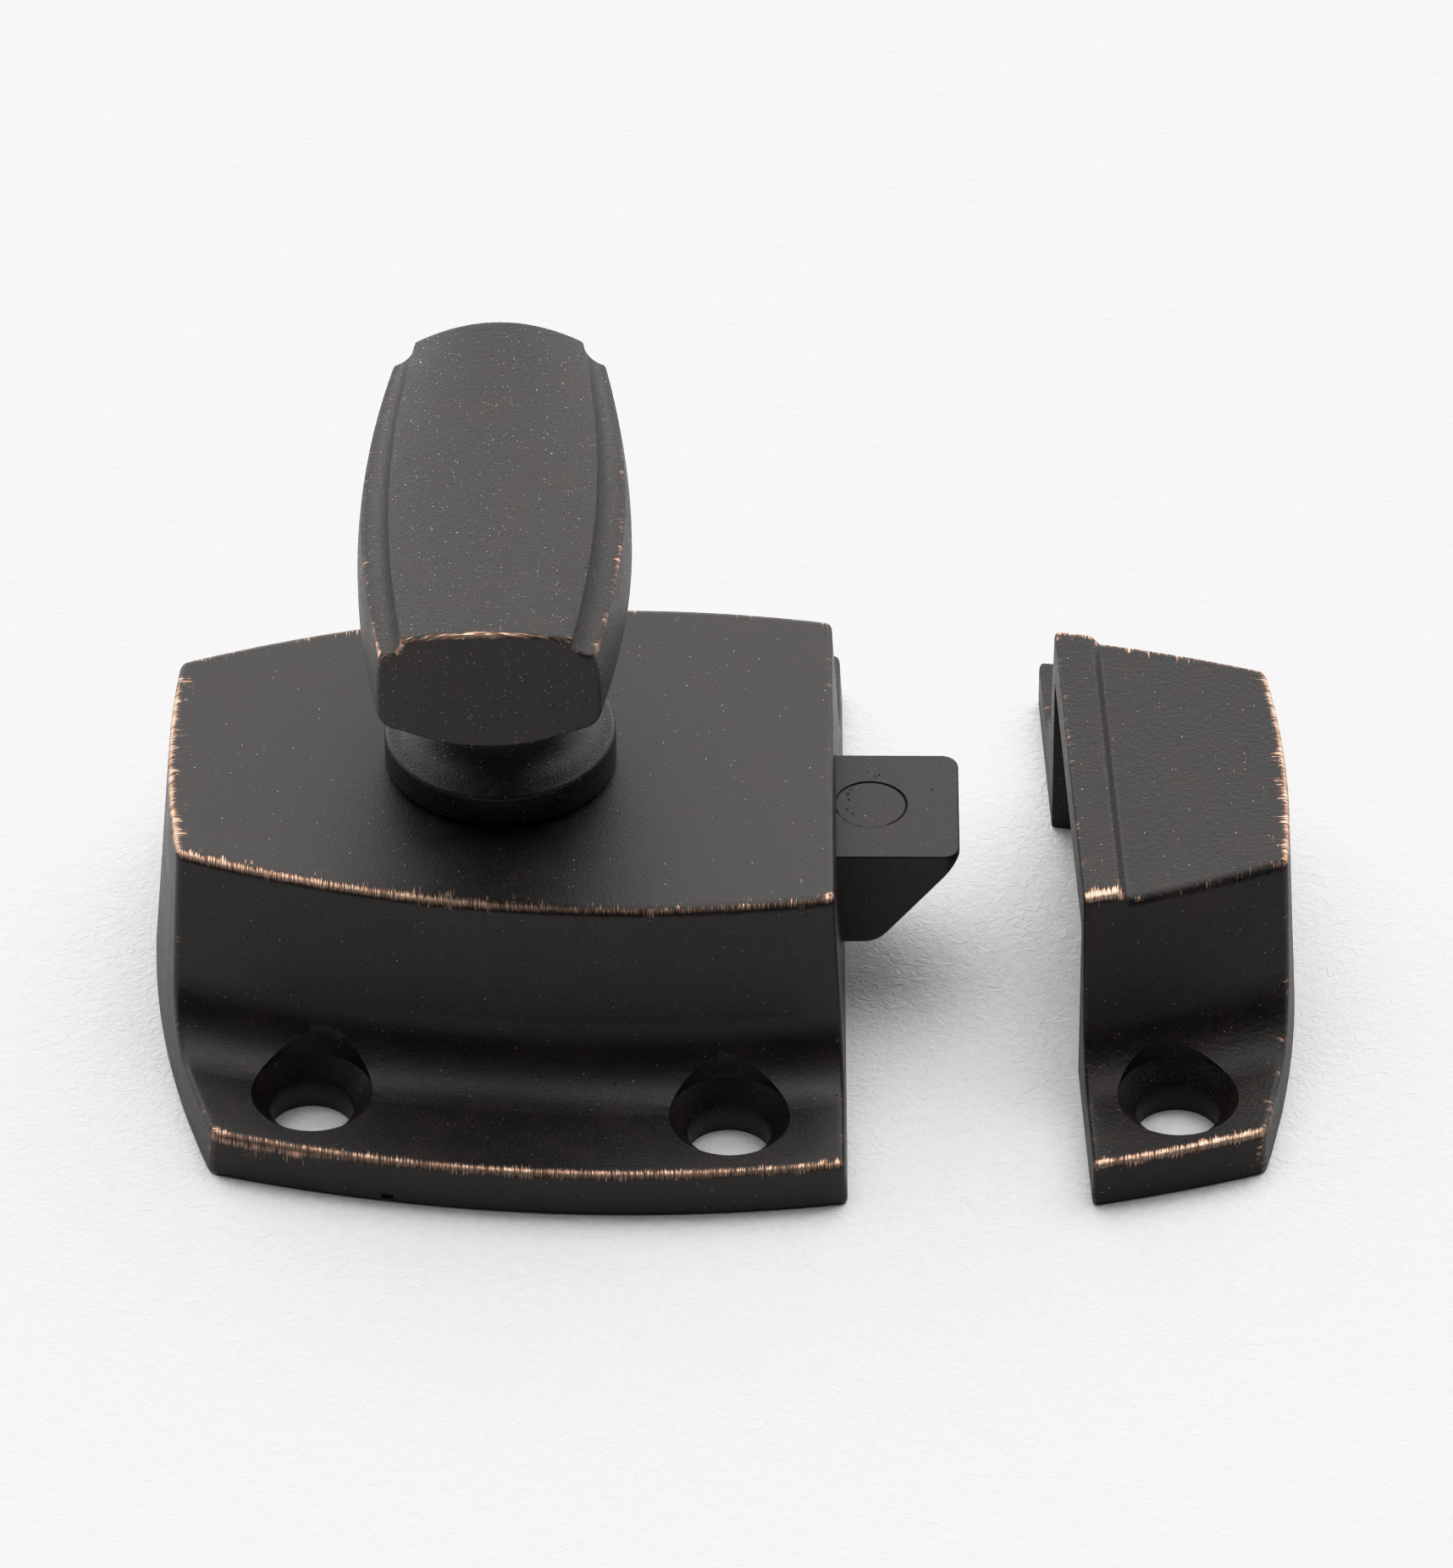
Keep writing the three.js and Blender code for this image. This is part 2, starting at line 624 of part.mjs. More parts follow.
// Half section of the head across X: crowned top, cove, shoulder, side and underside.
function knobHeadSection() {
  const shoulder = -knobCrown - knobCoveDepth;
  const coveWidth = knobShoulderHalfWidth - knobTopHalfWidth;
  const bottom = -knobHeadHeight + knobUnderCrown;
  const points = [];
  const crownSteps = 4;
  for (let i = 0; i <= crownSteps; i += 1) {
    const x = knobTopHalfWidth * i / crownSteps;
    points.push(new THREE.Vector2(x, -knobCrown * (i / crownSteps) ** 2));
  }
  for (let i = 1; i <= arcSegments; i += 1) {
    const angle = (Math.PI / 2) * i / arcSegments;
    const x = knobTopHalfWidth + coveWidth * (1 - Math.cos(angle));
    points.push(new THREE.Vector2(x, -knobCrown - knobCoveDepth * Math.sin(angle)));
  }
  const sideMiddle = (knobShoulderHalfWidth + knobSideHalfWidth) / 2 + knobSideBulge;
  points.push(new THREE.Vector2(sideMiddle, (shoulder + bottom) / 2 + knobSideBulgeRise));
  for (let i = 0; i <= arcSegments; i += 1) {
    const angle = (Math.PI / 2) * i / arcSegments;
    const x = knobSideHalfWidth - knobLowerRound * (1 - Math.cos(angle));
    points.push(new THREE.Vector2(x, bottom + knobLowerRound * (1 - Math.sin(angle))));
  }
  const flat = knobSideHalfWidth - knobLowerRound;
  for (let i = 3; i >= 0; i -= 1) {
    const share = i / 4;
    points.push(new THREE.Vector2(flat * share, bottom - knobUnderCrown * (1 - share * share)));
  }
  return points;
}

function makeKnobHead() {
  const half = knobHeadSection();
  const otherHalf = half.slice(1, -1).reverse().map((p) => new THREE.Vector2(-p.x, p.y));
  const section = new THREE.Shape([...half, ...otherHalf].reverse());
  const steps = bowSteps;
  const geometry = new THREE.ExtrudeGeometry(section,
    { depth: knobHeadLength, steps, bevelEnabled: false });
  geometry.translate(0, 0, -knobHeadLength / 2);
  geometry.rotateX(Math.PI / 2);
  moveVertices(geometry, (v) => {
    const along = v.y / (knobHeadLength / 2);
    v.x *= 1 - knobEndTaper * along * along;
    v.y -= along * v.x * v.x / (2 * knobEndBowRadius);
  });
  return solid(geometry);
}

function makeKnob() {
  const headTop = knobBase + knobHeadClearHeight + knobHeadHeight;
  const head = makeKnobHead().translate([0, 0, headTop]);
  const rimInner = knobDiscRadius - knobRimRound - knobRimLand;
  const coveFoot = knobBase + knobDiscHeight;
  const underside = headTop - knobHeadHeight + knobUnderCrown / 2;
  const profile = [[0, knobBase - overrun], [knobDiscRadius, knobBase - overrun],
    [knobDiscRadius, coveFoot - knobRimRound], [knobDiscRadius - knobRimRound, coveFoot]];
  for (let i = 0; i <= arcSegments + 2; i += 1) {
    const angle = (Math.PI / 2) * i / (arcSegments + 2);
    const r = rimInner - (rimInner - knobNeckRadius) * Math.sin(angle);
    profile.push([r, coveFoot + knobCoveHeight * (1 - Math.cos(angle))]);
  }
  for (let i = 0; i <= arcSegments; i += 1) {
    const angle = (Math.PI / 2) * i / arcSegments;
    const r = knobNeckRadius + knobFlareRadius * (1 - Math.cos(angle));
    profile.push([r, underside - knobFlareRadius * (1 - Math.sin(angle))]);
  }
  profile.push([0, underside + knobHeadHeight / 3]);
  const neck = turned(profile);
  let knob = head.add(neck);
  const leanDegrees = THREE.MathUtils.radToDeg(knobLean);
  knob = knob.translate([0, 0, -knobBase]).rotate([0, -leanDegrees, 0]).translate([0, 0, knobBase]);
  const reach = 4 * knobDiscRadius;
  knob = knob.subtract(box(-reach, reach, -reach, reach, 0, knobBase));
  const socketTop = knobBase + spindleInKnob + seatGap;
  return knob.subtract(disc(spindleDiameter / 2 + seatGap, 0, socketTop));
}

// ---------------------------------------------------------------- strike

function makeStrike() {
  const low = caseHeight - strikeRidgeDrop;
  const plate = bowedCasting(low, strikeLeft - overrun, strikeRight + overrun, bowSteps / 2);
  const ridge = bowedCasting(
    caseHeight, strikeLeft - overrun, strikeLeft + strikeRidgeWidth, bowSteps / 4);
  const trim = endTrim(strikeLeft, strikeRight, 0, 1 / strikeBowRadius, 0, strikeEndLean);
  const hollowRight = strikeRight - strikeEndLean - wallThickness;
  const hollow = solid(raised(
    hollowOutline(strikeLeft - overrun, hollowRight, false, 0), -overrun, low - topThickness));
  let body = plate.add(ridge).intersect(trim).subtract(hollow);
  for (const side of frontAndBack) {
    const x = strikeLeft + strikeHole.fromEnd;
    body = body.subtract(flangeHole(x, strikeHole.fromEdge, side));
  }
  return body;
}

// ---------------------------------------------------------------- materials

function finish(color, roughness, metalness) {
  return new THREE.MeshStandardMaterial({ color, roughness, metalness });
}

const bronze = finish(0x3a3533, 0.45, 0.7);
const steel = finish(0x9a9a98, 0.35, 1.0);
const springSteel = finish(0x6f7073, 0.3, 1.0);
const brass = finish(0xb08d4a, 0.4, 1.0);
const nylon = finish(0xd9d5c8, 0.6, 0.0);

// ---------------------------------------------------------------- the assembly

const latch = new THREE.Group();

function part(name, body, material, parent = latch) {
  const mesh = new THREE.Mesh(geometryOf(body), material);
  mesh.name = name;
  parent.add(mesh);
  return mesh;
}

part('case', makeCase(), bronze);
part('back_plate', makeBackPlate(), steel);
bossPlaces.forEach(({ x, y }, i) => {
  part(`back_plate_screw_${i + 1}`, makePlateScrew(), steel).position.set(x, y, 0);
});
part('bolt', makeBolt(), bronze);
part('bolt_spring', makeSpring(), springSteel);
part('spring_guide_pin', makeGuidePin(), steel);
part('spindle_bush', makeBush(), brass);
part('knob_washer', makeKnobWasher(), nylon);
part('spindle', makeSpindle(), steel);
part('retract_cam', makeCam(), steel);
part('wave_washer', makeWaveWasher(), springSteel);
part('cam_washer', makeCamWasher(), steel);
part('cam_screw', makeCamScrew(), steel);
part('toggle_knob', makeKnob(), bronze).rotation.z = knobRestTurn;

// The strike lies loose beside the case: turned and drawn away from its closed place.
const strikePivot = new THREE.Group();
strikePivot.position.set(strikePole.x, strikePole.y, 0);
strikePivot.rotation.z = strikeSwing;
latch.add(strikePivot);
const strike = part('strike', makeStrike(), bronze, strikePivot);
strike.position.set(-strikePole.x, -strikePole.y, 0);

export default latch;
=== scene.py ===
import json
import math

import bmesh
import bpy
import numpy as np
from mathutils import Matrix, Vector


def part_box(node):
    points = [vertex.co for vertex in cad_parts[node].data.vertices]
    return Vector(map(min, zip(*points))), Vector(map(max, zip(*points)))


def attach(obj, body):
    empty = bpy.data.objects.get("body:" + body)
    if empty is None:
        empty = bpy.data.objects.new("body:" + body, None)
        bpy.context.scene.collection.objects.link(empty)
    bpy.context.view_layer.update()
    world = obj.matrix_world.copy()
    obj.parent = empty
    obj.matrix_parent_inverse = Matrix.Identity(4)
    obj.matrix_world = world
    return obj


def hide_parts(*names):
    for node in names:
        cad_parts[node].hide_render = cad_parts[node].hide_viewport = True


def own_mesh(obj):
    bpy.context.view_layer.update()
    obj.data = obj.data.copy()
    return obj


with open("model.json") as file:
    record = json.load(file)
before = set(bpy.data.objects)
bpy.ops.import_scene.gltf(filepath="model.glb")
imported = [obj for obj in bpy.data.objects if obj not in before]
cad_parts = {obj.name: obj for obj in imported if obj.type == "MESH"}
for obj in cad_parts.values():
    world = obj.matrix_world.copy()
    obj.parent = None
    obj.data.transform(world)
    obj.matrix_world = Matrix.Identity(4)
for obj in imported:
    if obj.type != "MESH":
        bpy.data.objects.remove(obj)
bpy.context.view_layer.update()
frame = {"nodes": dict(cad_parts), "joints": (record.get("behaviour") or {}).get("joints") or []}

# ---------------------------------------------------------------- case
# The case is one cast shell: two screw flanges, a concave sweep up to battered walls and a flat top plate.
# Its sections are lofted from end to end, and the hollow, the slot and the screw holes are cut out of it.
# The finish is oil-rubbed bronze, a thin dark patina that rubs through to copper at the edges.
MM = 0.001


def box_of(node):
    """A node's lowest and highest corners at rest, in millimetres."""
    return [np.array(corner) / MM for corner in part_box(node)]


case_low, case_high = box_of("case")
casting_height = case_high[2]
casting_half_depth = case_high[1]
flange_thickness = 3.1
top_half_depth = 14.5
flange_bow_radius = 81.0
top_bow_radius = 66.0
case_end_bow_radius = 66.0
case_end_lean = 0.85
wall_batter = math.radians(9)
flange_fillet = 4.2
top_edge_round = 0.65
flange_edge_round = 0.45
flange_foot_round = 0.3
end_edge_round = 0.32
foot_lift = 0.4
wall_thickness = 1.6
top_thickness = 2.4
bow_centre = 7.3
sliding_clearance = 0.15
sink_radius, bore_radius, sink_depth = 3.6, 2.5, 1.1
# how far a cutting body runs past what it cuts, and the widest gap that is closed after a cut
overrun = 1
hairline = 0.02


def spaced(length, widest=2.2):
    """Distances along a straight stretch of outline, close together near both of its ends."""
    near = [d for d in (0.1, 0.28, 0.6, 1.2) if d < length * 0.45]
    start = near[-1] if near else 0.0
    middle = length - 2 * start
    count = max(1, round(middle / widest))
    inner = [start + middle * i / count for i in range(count + 1)]
    places = near[:-1] + inner + [length - d for d in reversed(near[:-1])]
    return [d for d in places if 1e-6 < d < length - 1e-6]


def rounded_path(corners, steps):
    """An outline through corners (across, up, radius), with each corner rounded, and how each point moves as
    the outline shrinks by one millimetre. The path runs with the material on its left."""
    spots = [np.array(corner[:2], float) for corner in corners]
    radii = [corner[2] for corner in corners]
    ways = [(b - a) / np.linalg.norm(b - a) for a, b in zip(spots, spots[1:])]
    ways = [ways[0], *ways, ways[-1]]
    points, moves = [], []
    for radius, spot, way_in, way_out in zip(radii, spots, ways, ways[1:]):
        left_in = np.array([-way_in[1], way_in[0]])
        left_out = np.array([-way_out[1], way_out[0]])
        move = (left_in + left_out) / (1 + left_in @ left_out)
        turn = math.atan2(way_in[0] * way_out[1] - way_in[1] * way_out[0], way_in @ way_out)
        if radius <= 0 or abs(turn) < 1e-6:
            run = [spot]
        else:
            centre = spot + move * radius * math.copysign(1, turn)
            first = spot - way_in * radius * math.tan(abs(turn) / 2) - centre
            run = []
            for i in range(steps + 1):
                angle = turn * i / steps
                c, s = math.cos(angle), math.sin(angle)
                run.append(centre + np.array([c * first[0] - s * first[1], s * first[0] + c * first[1]]))
        if points:
            start, start_move = points[-1], moves[-1]
            gap = run[0] - start
            length = np.linalg.norm(gap)
            for d in spaced(length) if length > 1.5 else ():
                points.append(start + gap * d / length)
                moves.append(start_move + (move - start_move) * d / length)
        points += run
        moves += [move] * len(run)
    return np.array(points), np.array(moves)


def bell_section():
    """Half of the casting's section across the bolt, in columns from the flange's edge to the middle: points
    of the top line and of the foot line under it, each with how they move as the section shrinks."""
    corner_steps = 8
    slope = math.tan(wall_batter)
    wall_at_flange = top_half_depth + slope * (casting_height - flange_thickness)
    top, top_move = rounded_path([
        (casting_half_depth, flange_thickness / 2, 0),
        (casting_half_depth, flange_thickness, flange_edge_round),
        (wall_at_flange, flange_thickness, flange_fillet),
        (top_half_depth, casting_height, top_edge_round),
        (0, casting_height, 0),
    ], corner_steps)
    first = int(np.argmax(top[:, 1] > flange_thickness - flange_edge_round - 1e-6))
    top, top_move = top[first:], top_move[first:]
    foot = top.copy()
    foot_move = np.zeros_like(foot)
    for i in range(corner_steps + 1):
        angle = math.pi / 2 * i / corner_steps
        foot[i] = (casting_half_depth - flange_foot_round * (1 - math.cos(angle)),
                   flange_foot_round * (1 - math.sin(angle)))
        foot_move[i] = (-1, foot_lift)
    rest = foot[corner_steps + 1:, 0]
    foot[corner_steps + 1:, 1] = 0
    foot_move[corner_steps + 1:, 0] = -rest / casting_half_depth
    foot_move[corner_steps + 1:, 1] = foot_lift
    return top, top_move, foot, foot_move


row_shares = np.array([0, 0.04, 0.12, 0.3, 0.5, 0.7, 0.88, 0.96, 1.0])


def section_grid(half, shrink):
    """The whole section as a grid of columns and rows, shrunk by so many millimetres."""
    top, top_move, foot, foot_move = half
    upper = top + top_move * shrink
    lower = foot + foot_move * shrink
    grid = lower[:, None, :] + (upper - lower)[:, None, :] * row_shares[None, :, None]
    other = grid[:-1][::-1].copy()
    other[..., 0] *= -1
    return np.concatenate([grid, other])


def grid_edge(columns, rows):
    """Grid places round the edge of a section, in order."""
    path = [(c, 0) for c in range(columns)]
    path += [(columns - 1, r) for r in range(1, rows)]
    path += [(c, rows - 1) for c in range(columns - 2, -1, -1)]
    path += [(0, r) for r in range(rows - 2, 0, -1)]
    return path


def banded(rings, closed=False):
    """Faces between neighbouring rings of numbered points, and from the last ring to the first if closed."""
    faces = []
    count = len(rings[0])
    for a, b in zip(rings, rings[1:] + rings[:1] if closed else rings[1:]):
        faces += [(a[i], a[(i + 1) % count], b[(i + 1) % count], b[i]) for i in range(count)]
    return faces


def loft(stations, place):
    """A closed mesh through section grids. A station is (grid, where), and place puts its points there."""
    columns, rows = stations[0][0].shape[:2]
    edge = grid_edge(columns, rows)
    verts, rings = [], []
    for grid, where in stations:
        spots = place(grid, where)
        rings.append([len(verts) + i for i in range(len(edge))])
        verts += [spots[c, r] for c, r in edge]
    faces = banded(rings)
    for ring, station, last in ((rings[0], stations[0], False), (rings[-1], stations[-1], True)):
        spots = place(*station)
        index = np.full((columns, rows), -1)
        for i, (c, r) in enumerate(edge):
            index[c, r] = ring[i]
        for c in range(1, columns - 1):
            for r in range(1, rows - 1):
                index[c, r] = len(verts)
                verts.append(spots[c, r])
        for c in range(columns - 1):
            for r in range(rows - 1):
                face = (index[c, r], index[c, r + 1], index[c + 1, r + 1], index[c + 1, r])
                faces.append(face[::-1] if last else face)
    return mesh_of(verts, faces)


def mesh_of(verts, faces):
    """A mesh in metres from points in millimetres, with its faces turned outwards."""
    mesh = bpy.data.meshes.new("casting")
    places = [tuple(float(c) * MM for c in vert) for vert in verts]
    mesh.from_pydata(places, [], [tuple(map(int, face)) for face in faces])
    shell = bmesh.new()
    shell.from_mesh(mesh)
    bmesh.ops.remove_doubles(shell, verts=shell.verts, dist=1e-7)
    bmesh.ops.recalc_face_normals(shell, faces=shell.faces)
    shell.to_mesh(mesh)
    shell.free()
    return mesh


def piece_of(name, mesh):
    piece = bpy.data.objects.new(name, mesh)
    bpy.context.scene.collection.objects.link(piece)
    return piece


def bow_depth(x, z):
    """How far the bow draws a casting in towards the bolt's line: not at all halfway along the latch."""
    flange_bow = 1 / flange_bow_radius
    draw = flange_bow + (1 / top_bow_radius - flange_bow) * z / casting_height
    return draw * (x - bow_centre) ** 2 / 2


def bow(points):
    """Draws a casting's points in by the bow, those near the bolt's line by less."""
    share = np.clip(np.abs(points[..., 1]) / (top_half_depth - 2), 0, 1)
    points[..., 1] -= np.sign(points[..., 1]) * share * bow_depth(points[..., 0], points[..., 2])


case_left, case_right = case_low[0], case_high[0]
# a place on a bowed end moves as the bow draws it in, so both are worked out in turn this many times
settling_rounds = 6


def case_ends(y, z):
    lean = case_end_lean * z / casting_height
    return case_left + y ** 2 / (2 * case_end_bow_radius) + lean, case_right - lean


def between_ends(ends, reach=0):
    """Places stations that are given as (share, inset): a share of the way from left to right and so many
    millimetres more. Shares above nothing are counted from a reach away from the left end."""
    def place(grid, where):
        share, inset = where
        points = np.zeros(grid.shape[:2] + (3,))
        points[..., 1:] = grid
        for _ in range(settling_rounds):
            left, right = ends(points[..., 1], grid[..., 1])
            start = left if share == 0 else left + reach
            points[..., 0] = start + inset + (right - start) * share
            points[..., 1] = grid[..., 0]
            bow(points)
        return points
    return place


def end_stations(radius, steps=6):
    """How far in from an end, and how far shrunk, for the stations that round the end's edge over."""
    angles = [math.pi / 2 * i / steps for i in range(steps + 1)]
    return [(radius * (1 - math.cos(a)), radius * (1 - math.sin(a))) for a in angles]


half_section = bell_section()
whole_section = section_grid(half_section, 0)
rounded_ends = [(section_grid(half_section, shrink), inset)
                for inset, shrink in end_stations(end_edge_round)]
close_insets = (0.45, 0.7, 1.1, 1.8)
case_stations = [(grid, (0.0, inset)) for grid, inset in rounded_ends]
case_stations += [(whole_section, (0.0, inset)) for inset in close_insets]
case_stations += [(whole_section, (i / 26, 0.0)) for i in range(2, 25)]
case_stations += [(whole_section, (1.0, -inset)) for inset in reversed(close_insets)]
case_stations += [(grid, (1.0, -inset)) for grid, inset in reversed(rounded_ends)]


def prism(outline, low, high):
    """A closed upright prism over a plan outline."""
    count = len(outline)
    verts = [(x, y, low) for x, y in outline] + [(x, y, high) for x, y in outline]
    faces = [tuple(range(count)), tuple(range(count, 2 * count))]
    faces += [(i, (i + 1) % count, count + (i + 1) % count, count + i) for i in range(count)]
    return mesh_of(verts, faces)


def turned(profile, centre=(0, 0), segments=64):
    """A closed round solid about an upright axis, from (radius, height) pairs that start and end on it."""
    verts, rings = [], []
    for radius, height in profile:
        if radius < 1e-9:
            rings.append([len(verts)] * segments)
            verts.append((centre[0], centre[1], height))
            continue
        rings.append([len(verts) + i for i in range(segments)])
        for i in range(segments):
            angle = 2 * math.pi * i / segments
            verts.append((centre[0] + radius * math.cos(angle),
                          centre[1] + radius * math.sin(angle), height))
    faces = [tuple(dict.fromkeys(face)) for face in banded(rings)]
    return mesh_of(verts, [face for face in faces if len(face) > 2])


def rod(radius, low, high, centre=(0, 0), segments=64):
    return turned([(0, low), (radius, low), (radius, high), (0, high)], centre, segments)


def block(low, high):
    (left, near, foot), (right, far, top) = low, high
    return prism([(left, near), (right, near), (right, far), (left, far)], foot, top)


def close_hairlines(piece):
    """Merges the points of hairline gaps that a cut can leave, so that the skin is closed."""
    skin = bmesh.new()
    skin.from_mesh(piece.data)
    open_points = [point for point in skin.verts if any(not edge.is_manifold for edge in point.link_edges)]
    bmesh.ops.remove_doubles(skin, verts=open_points, dist=hairline * MM)
    skin.to_mesh(piece.data)
    skin.free()


def carve(body, tools, operation="DIFFERENCE"):
    """Cuts the tools' meshes out of a body's mesh one after another, or joins them to it."""
    for tool in tools:
        cutter = piece_of("tool", tool)
        step = body.modifiers.new("carve", "BOOLEAN")
        step.solver = "EXACT"
        step.operation = operation
        step.object = cutter
        bpy.context.view_layer.update()
        result = bpy.data.meshes.new_from_object(body.evaluated_get(bpy.context.evaluated_depsgraph_get()))
        body.modifiers.clear()
        body.data = result
        bpy.data.objects.remove(cutter)
    close_hairlines(body)
    return body


def inner_half_depth(x):
    at_ceiling = top_half_depth + math.tan(wall_batter) * top_thickness
    at_middle = at_ceiling - wall_thickness / math.cos(wall_batter)
    return at_middle - (x - bow_centre) ** 2 / (2 * top_bow_radius)


def hollow_outline(left, right, end_bow, margin):
    """The hollow's plan outline, grown outwards by a margin."""
    corner = inner_half_depth(left) + margin
    steps = 16
    start = left - margin + corner ** 2 * end_bow / 2
    outline = []
    for i in range(steps + 1):
        y = corner - 2 * corner * i / steps
        outline.append((left - margin + y * y * end_bow / 2, y))
    far = right + margin
    along = [start + (far - start) * i / steps for i in range(1, steps + 1)]
    outline += [(x, -inner_half_depth(x) - margin) for x in along]
    outline += [(x, inner_half_depth(x) + margin) for x in reversed(along)]
    return outline


def screw_hole(x, y):
    sink_start = flange_thickness - sink_depth
    over_casting = casting_height + overrun
    return turned([(0, -overrun), (bore_radius, -overrun), (bore_radius, sink_start - 0.06),
                   (bore_radius + 0.04, sink_start + 0.02), (sink_radius, flange_thickness),
                   (sink_radius, over_casting), (0, over_casting)], (x, y))


case_ceiling = casting_height - top_thickness
hollow_left = case_left + case_end_lean + wall_thickness
hollow_right = case_right - case_end_lean - wall_thickness
plate_ledge = 1.2
rebate_top = 1.2


def hollow_prism(margin, low, high):
    return prism(hollow_outline(hollow_left, hollow_right, 1 / case_end_bow_radius, margin), low, high)


boss_radius, boss_foot, boss_head = 2.2, 0.6, 13
boss_places = [tuple(sum(box_of(f"back_plate_screw_{i}"))[:2] / 2) for i in range(1, 5)]
spring_line = boss_places[0][1]
spring_seat = boss_places[0][0] + boss_radius
case_hollow = piece_of("case_hollow", hollow_prism(0, -overrun, case_ceiling))
carve(case_hollow, [rod(boss_radius, boss_foot, boss_head, spot, 40) for spot in boss_places])
carve(case_hollow, [block((boss_places[0][0], spring_line - boss_radius, boss_foot),
                          (spring_seat, spring_line + boss_radius, boss_head))])

bolt_low, bolt_high = box_of("bolt")
bolt_half_width = 4.9
bolt_foot = 4.2
bush_radius, bush_way_foot, bush_way_head = 3.7, 11, 15
slot_half = bolt_half_width + sliding_clearance
# screw holes as (x, in from the flange's edge), and dents as (x, y, foot, head, radius)
case_holes = [(case_right - 7.0, 5.5), (case_left + 9.55, 7.6)]
case_dents = [(-6.64, -24.45, 0.15, 0.75, 0.5), (-4.62, -24.66, 2.8, 3.4, 0.26)]
dent_slope = 0.15
case = piece_of("case_casting", loft(case_stations, between_ends(case_ends)))
carve(case, [
    case_hollow.data,
    hollow_prism(plate_ledge, -overrun, rebate_top),
    block((hollow_right - overrun, -slot_half, bolt_foot - sliding_clearance),
          (case_right + overrun, slot_half, bolt_high[2] + sliding_clearance)),
    rod(bush_radius, bush_way_foot, bush_way_head),
    *[screw_hole(x, side * (casting_half_depth - inset)) for x, inset in case_holes for side in (-1, 1)],
    *[turned([(0, low), (radius, low + dent_slope), (radius, high - dent_slope), (0, high)], (x, y), 7)
      for x, y, low, high, radius in case_dents],
])
bpy.data.objects.remove(case_hollow)


def unbowed(points):
    """How far points on a casting would lie from the bolt's line without the bow."""
    return np.abs(points[:, 1]) + bow_depth(points[:, 0], points[:, 2])


def swell(value, low, high, soft):
    """One between low and high, fading to nothing over a soft margin outside them."""
    rise = np.clip((value - low) / soft + 1, 0, 1)
    fall = np.clip((high - value) / soft + 1, 0, 1)
    both = np.minimum(rise, fall)
    return both * both * (3 - 2 * both)


def outline_distance(across, height, outline):
    """How far section points lie from an outline, and whether the outline runs steeply there."""
    nearest = np.full(len(across), 1e9)
    steep = np.zeros(len(across), bool)
    spots = np.stack([across, height], axis=1)
    for a, b in zip(outline, outline[1:]):
        run = b - a
        share = np.clip(((spots - a) @ run) / max(run @ run, 1e-12), 0, 1)
        away = np.linalg.norm(spots - a - share[:, None] * run, axis=1)
        closer = away < nearest
        nearest = np.where(closer, away, nearest)
        steep = np.where(closer, abs(run[1]) > abs(run[0]), steep)
    return nearest, steep


unrubbed = 20.0


def mark_rubbing(piece, fields):
    """Stores how far each point lies from rubbed edges that run along X, Y and Z, in millimetres."""
    for name, field in fields.items():
        layer = piece.data.attributes.new(name, "FLOAT", "POINT")
        layer.data.foreach_set("value", np.clip(field, 0, unrubbed).astype(np.float32))


def points_of(piece):
    flat = np.zeros(len(piece.data.vertices) * 3, np.float32)
    piece.data.vertices.foreach_get("co", flat)
    return flat.reshape(-1, 3).astype(float) / MM


def rubbed(distance, amount):
    """A rubbing field from the distance to an edge and how much that edge is rubbed, from none to one."""
    return distance + (1 - np.asarray(amount))


def casting_rubbing(points, top_amount, flange_amount, front_amount, ends, local_height):
    """Rubbing fields of a bell-shaped casting. Amounts are given at each point: along the top edge, along
    the flange's edge and down its face. For each end, ends gives how far in points lie, the outline there,
    and the amounts on its level and steep edges."""
    across = unbowed(points)
    height = points[:, 2]
    slope = math.tan(wall_batter)
    wall_at_top = top_half_depth + slope * (casting_height - local_height)
    top_edge = np.hypot(across - wall_at_top, height - local_height)
    under_edge = 1 + 2.2 * np.clip((local_height - 0.1 - height) / 0.4, 0, 1)
    flange_edge = np.hypot(across - casting_half_depth, height - flange_thickness)
    down_face = np.clip((flange_thickness - 0.25 - height) / 0.3, 0, 1)
    inland = 1 + 1.5 * np.clip((casting_half_depth - 0.5 - across) / 0.5, 0, 1)
    along_x = np.minimum(rubbed(np.clip(top_edge - 0.17, 0, None) * under_edge, top_amount),
                         rubbed(np.clip(flange_edge - 0.18, 0, None) * inland,
                                flange_amount + (front_amount - flange_amount) * down_face))
    along_y = np.full(len(points), unrubbed)
    along_z = np.full(len(points), unrubbed)
    for inset, outline, level_amount, steep_amount in ends:
        depth, steep = outline_distance(across, height, outline)
        edge = np.clip(np.hypot(np.clip(inset, 0, None), depth) - 0.13, 0, None)
        along_y = np.minimum(along_y, np.where(steep, unrubbed, rubbed(edge, level_amount)))
        along_z = np.minimum(along_z, np.where(steep, rubbed(edge, steep_amount), unrubbed))
    return {"rub_x": along_x, "rub_y": along_y, "rub_z": along_z}


def casting_outline(half):
    return np.vstack([[(casting_half_depth, 0.0)], half[0]])


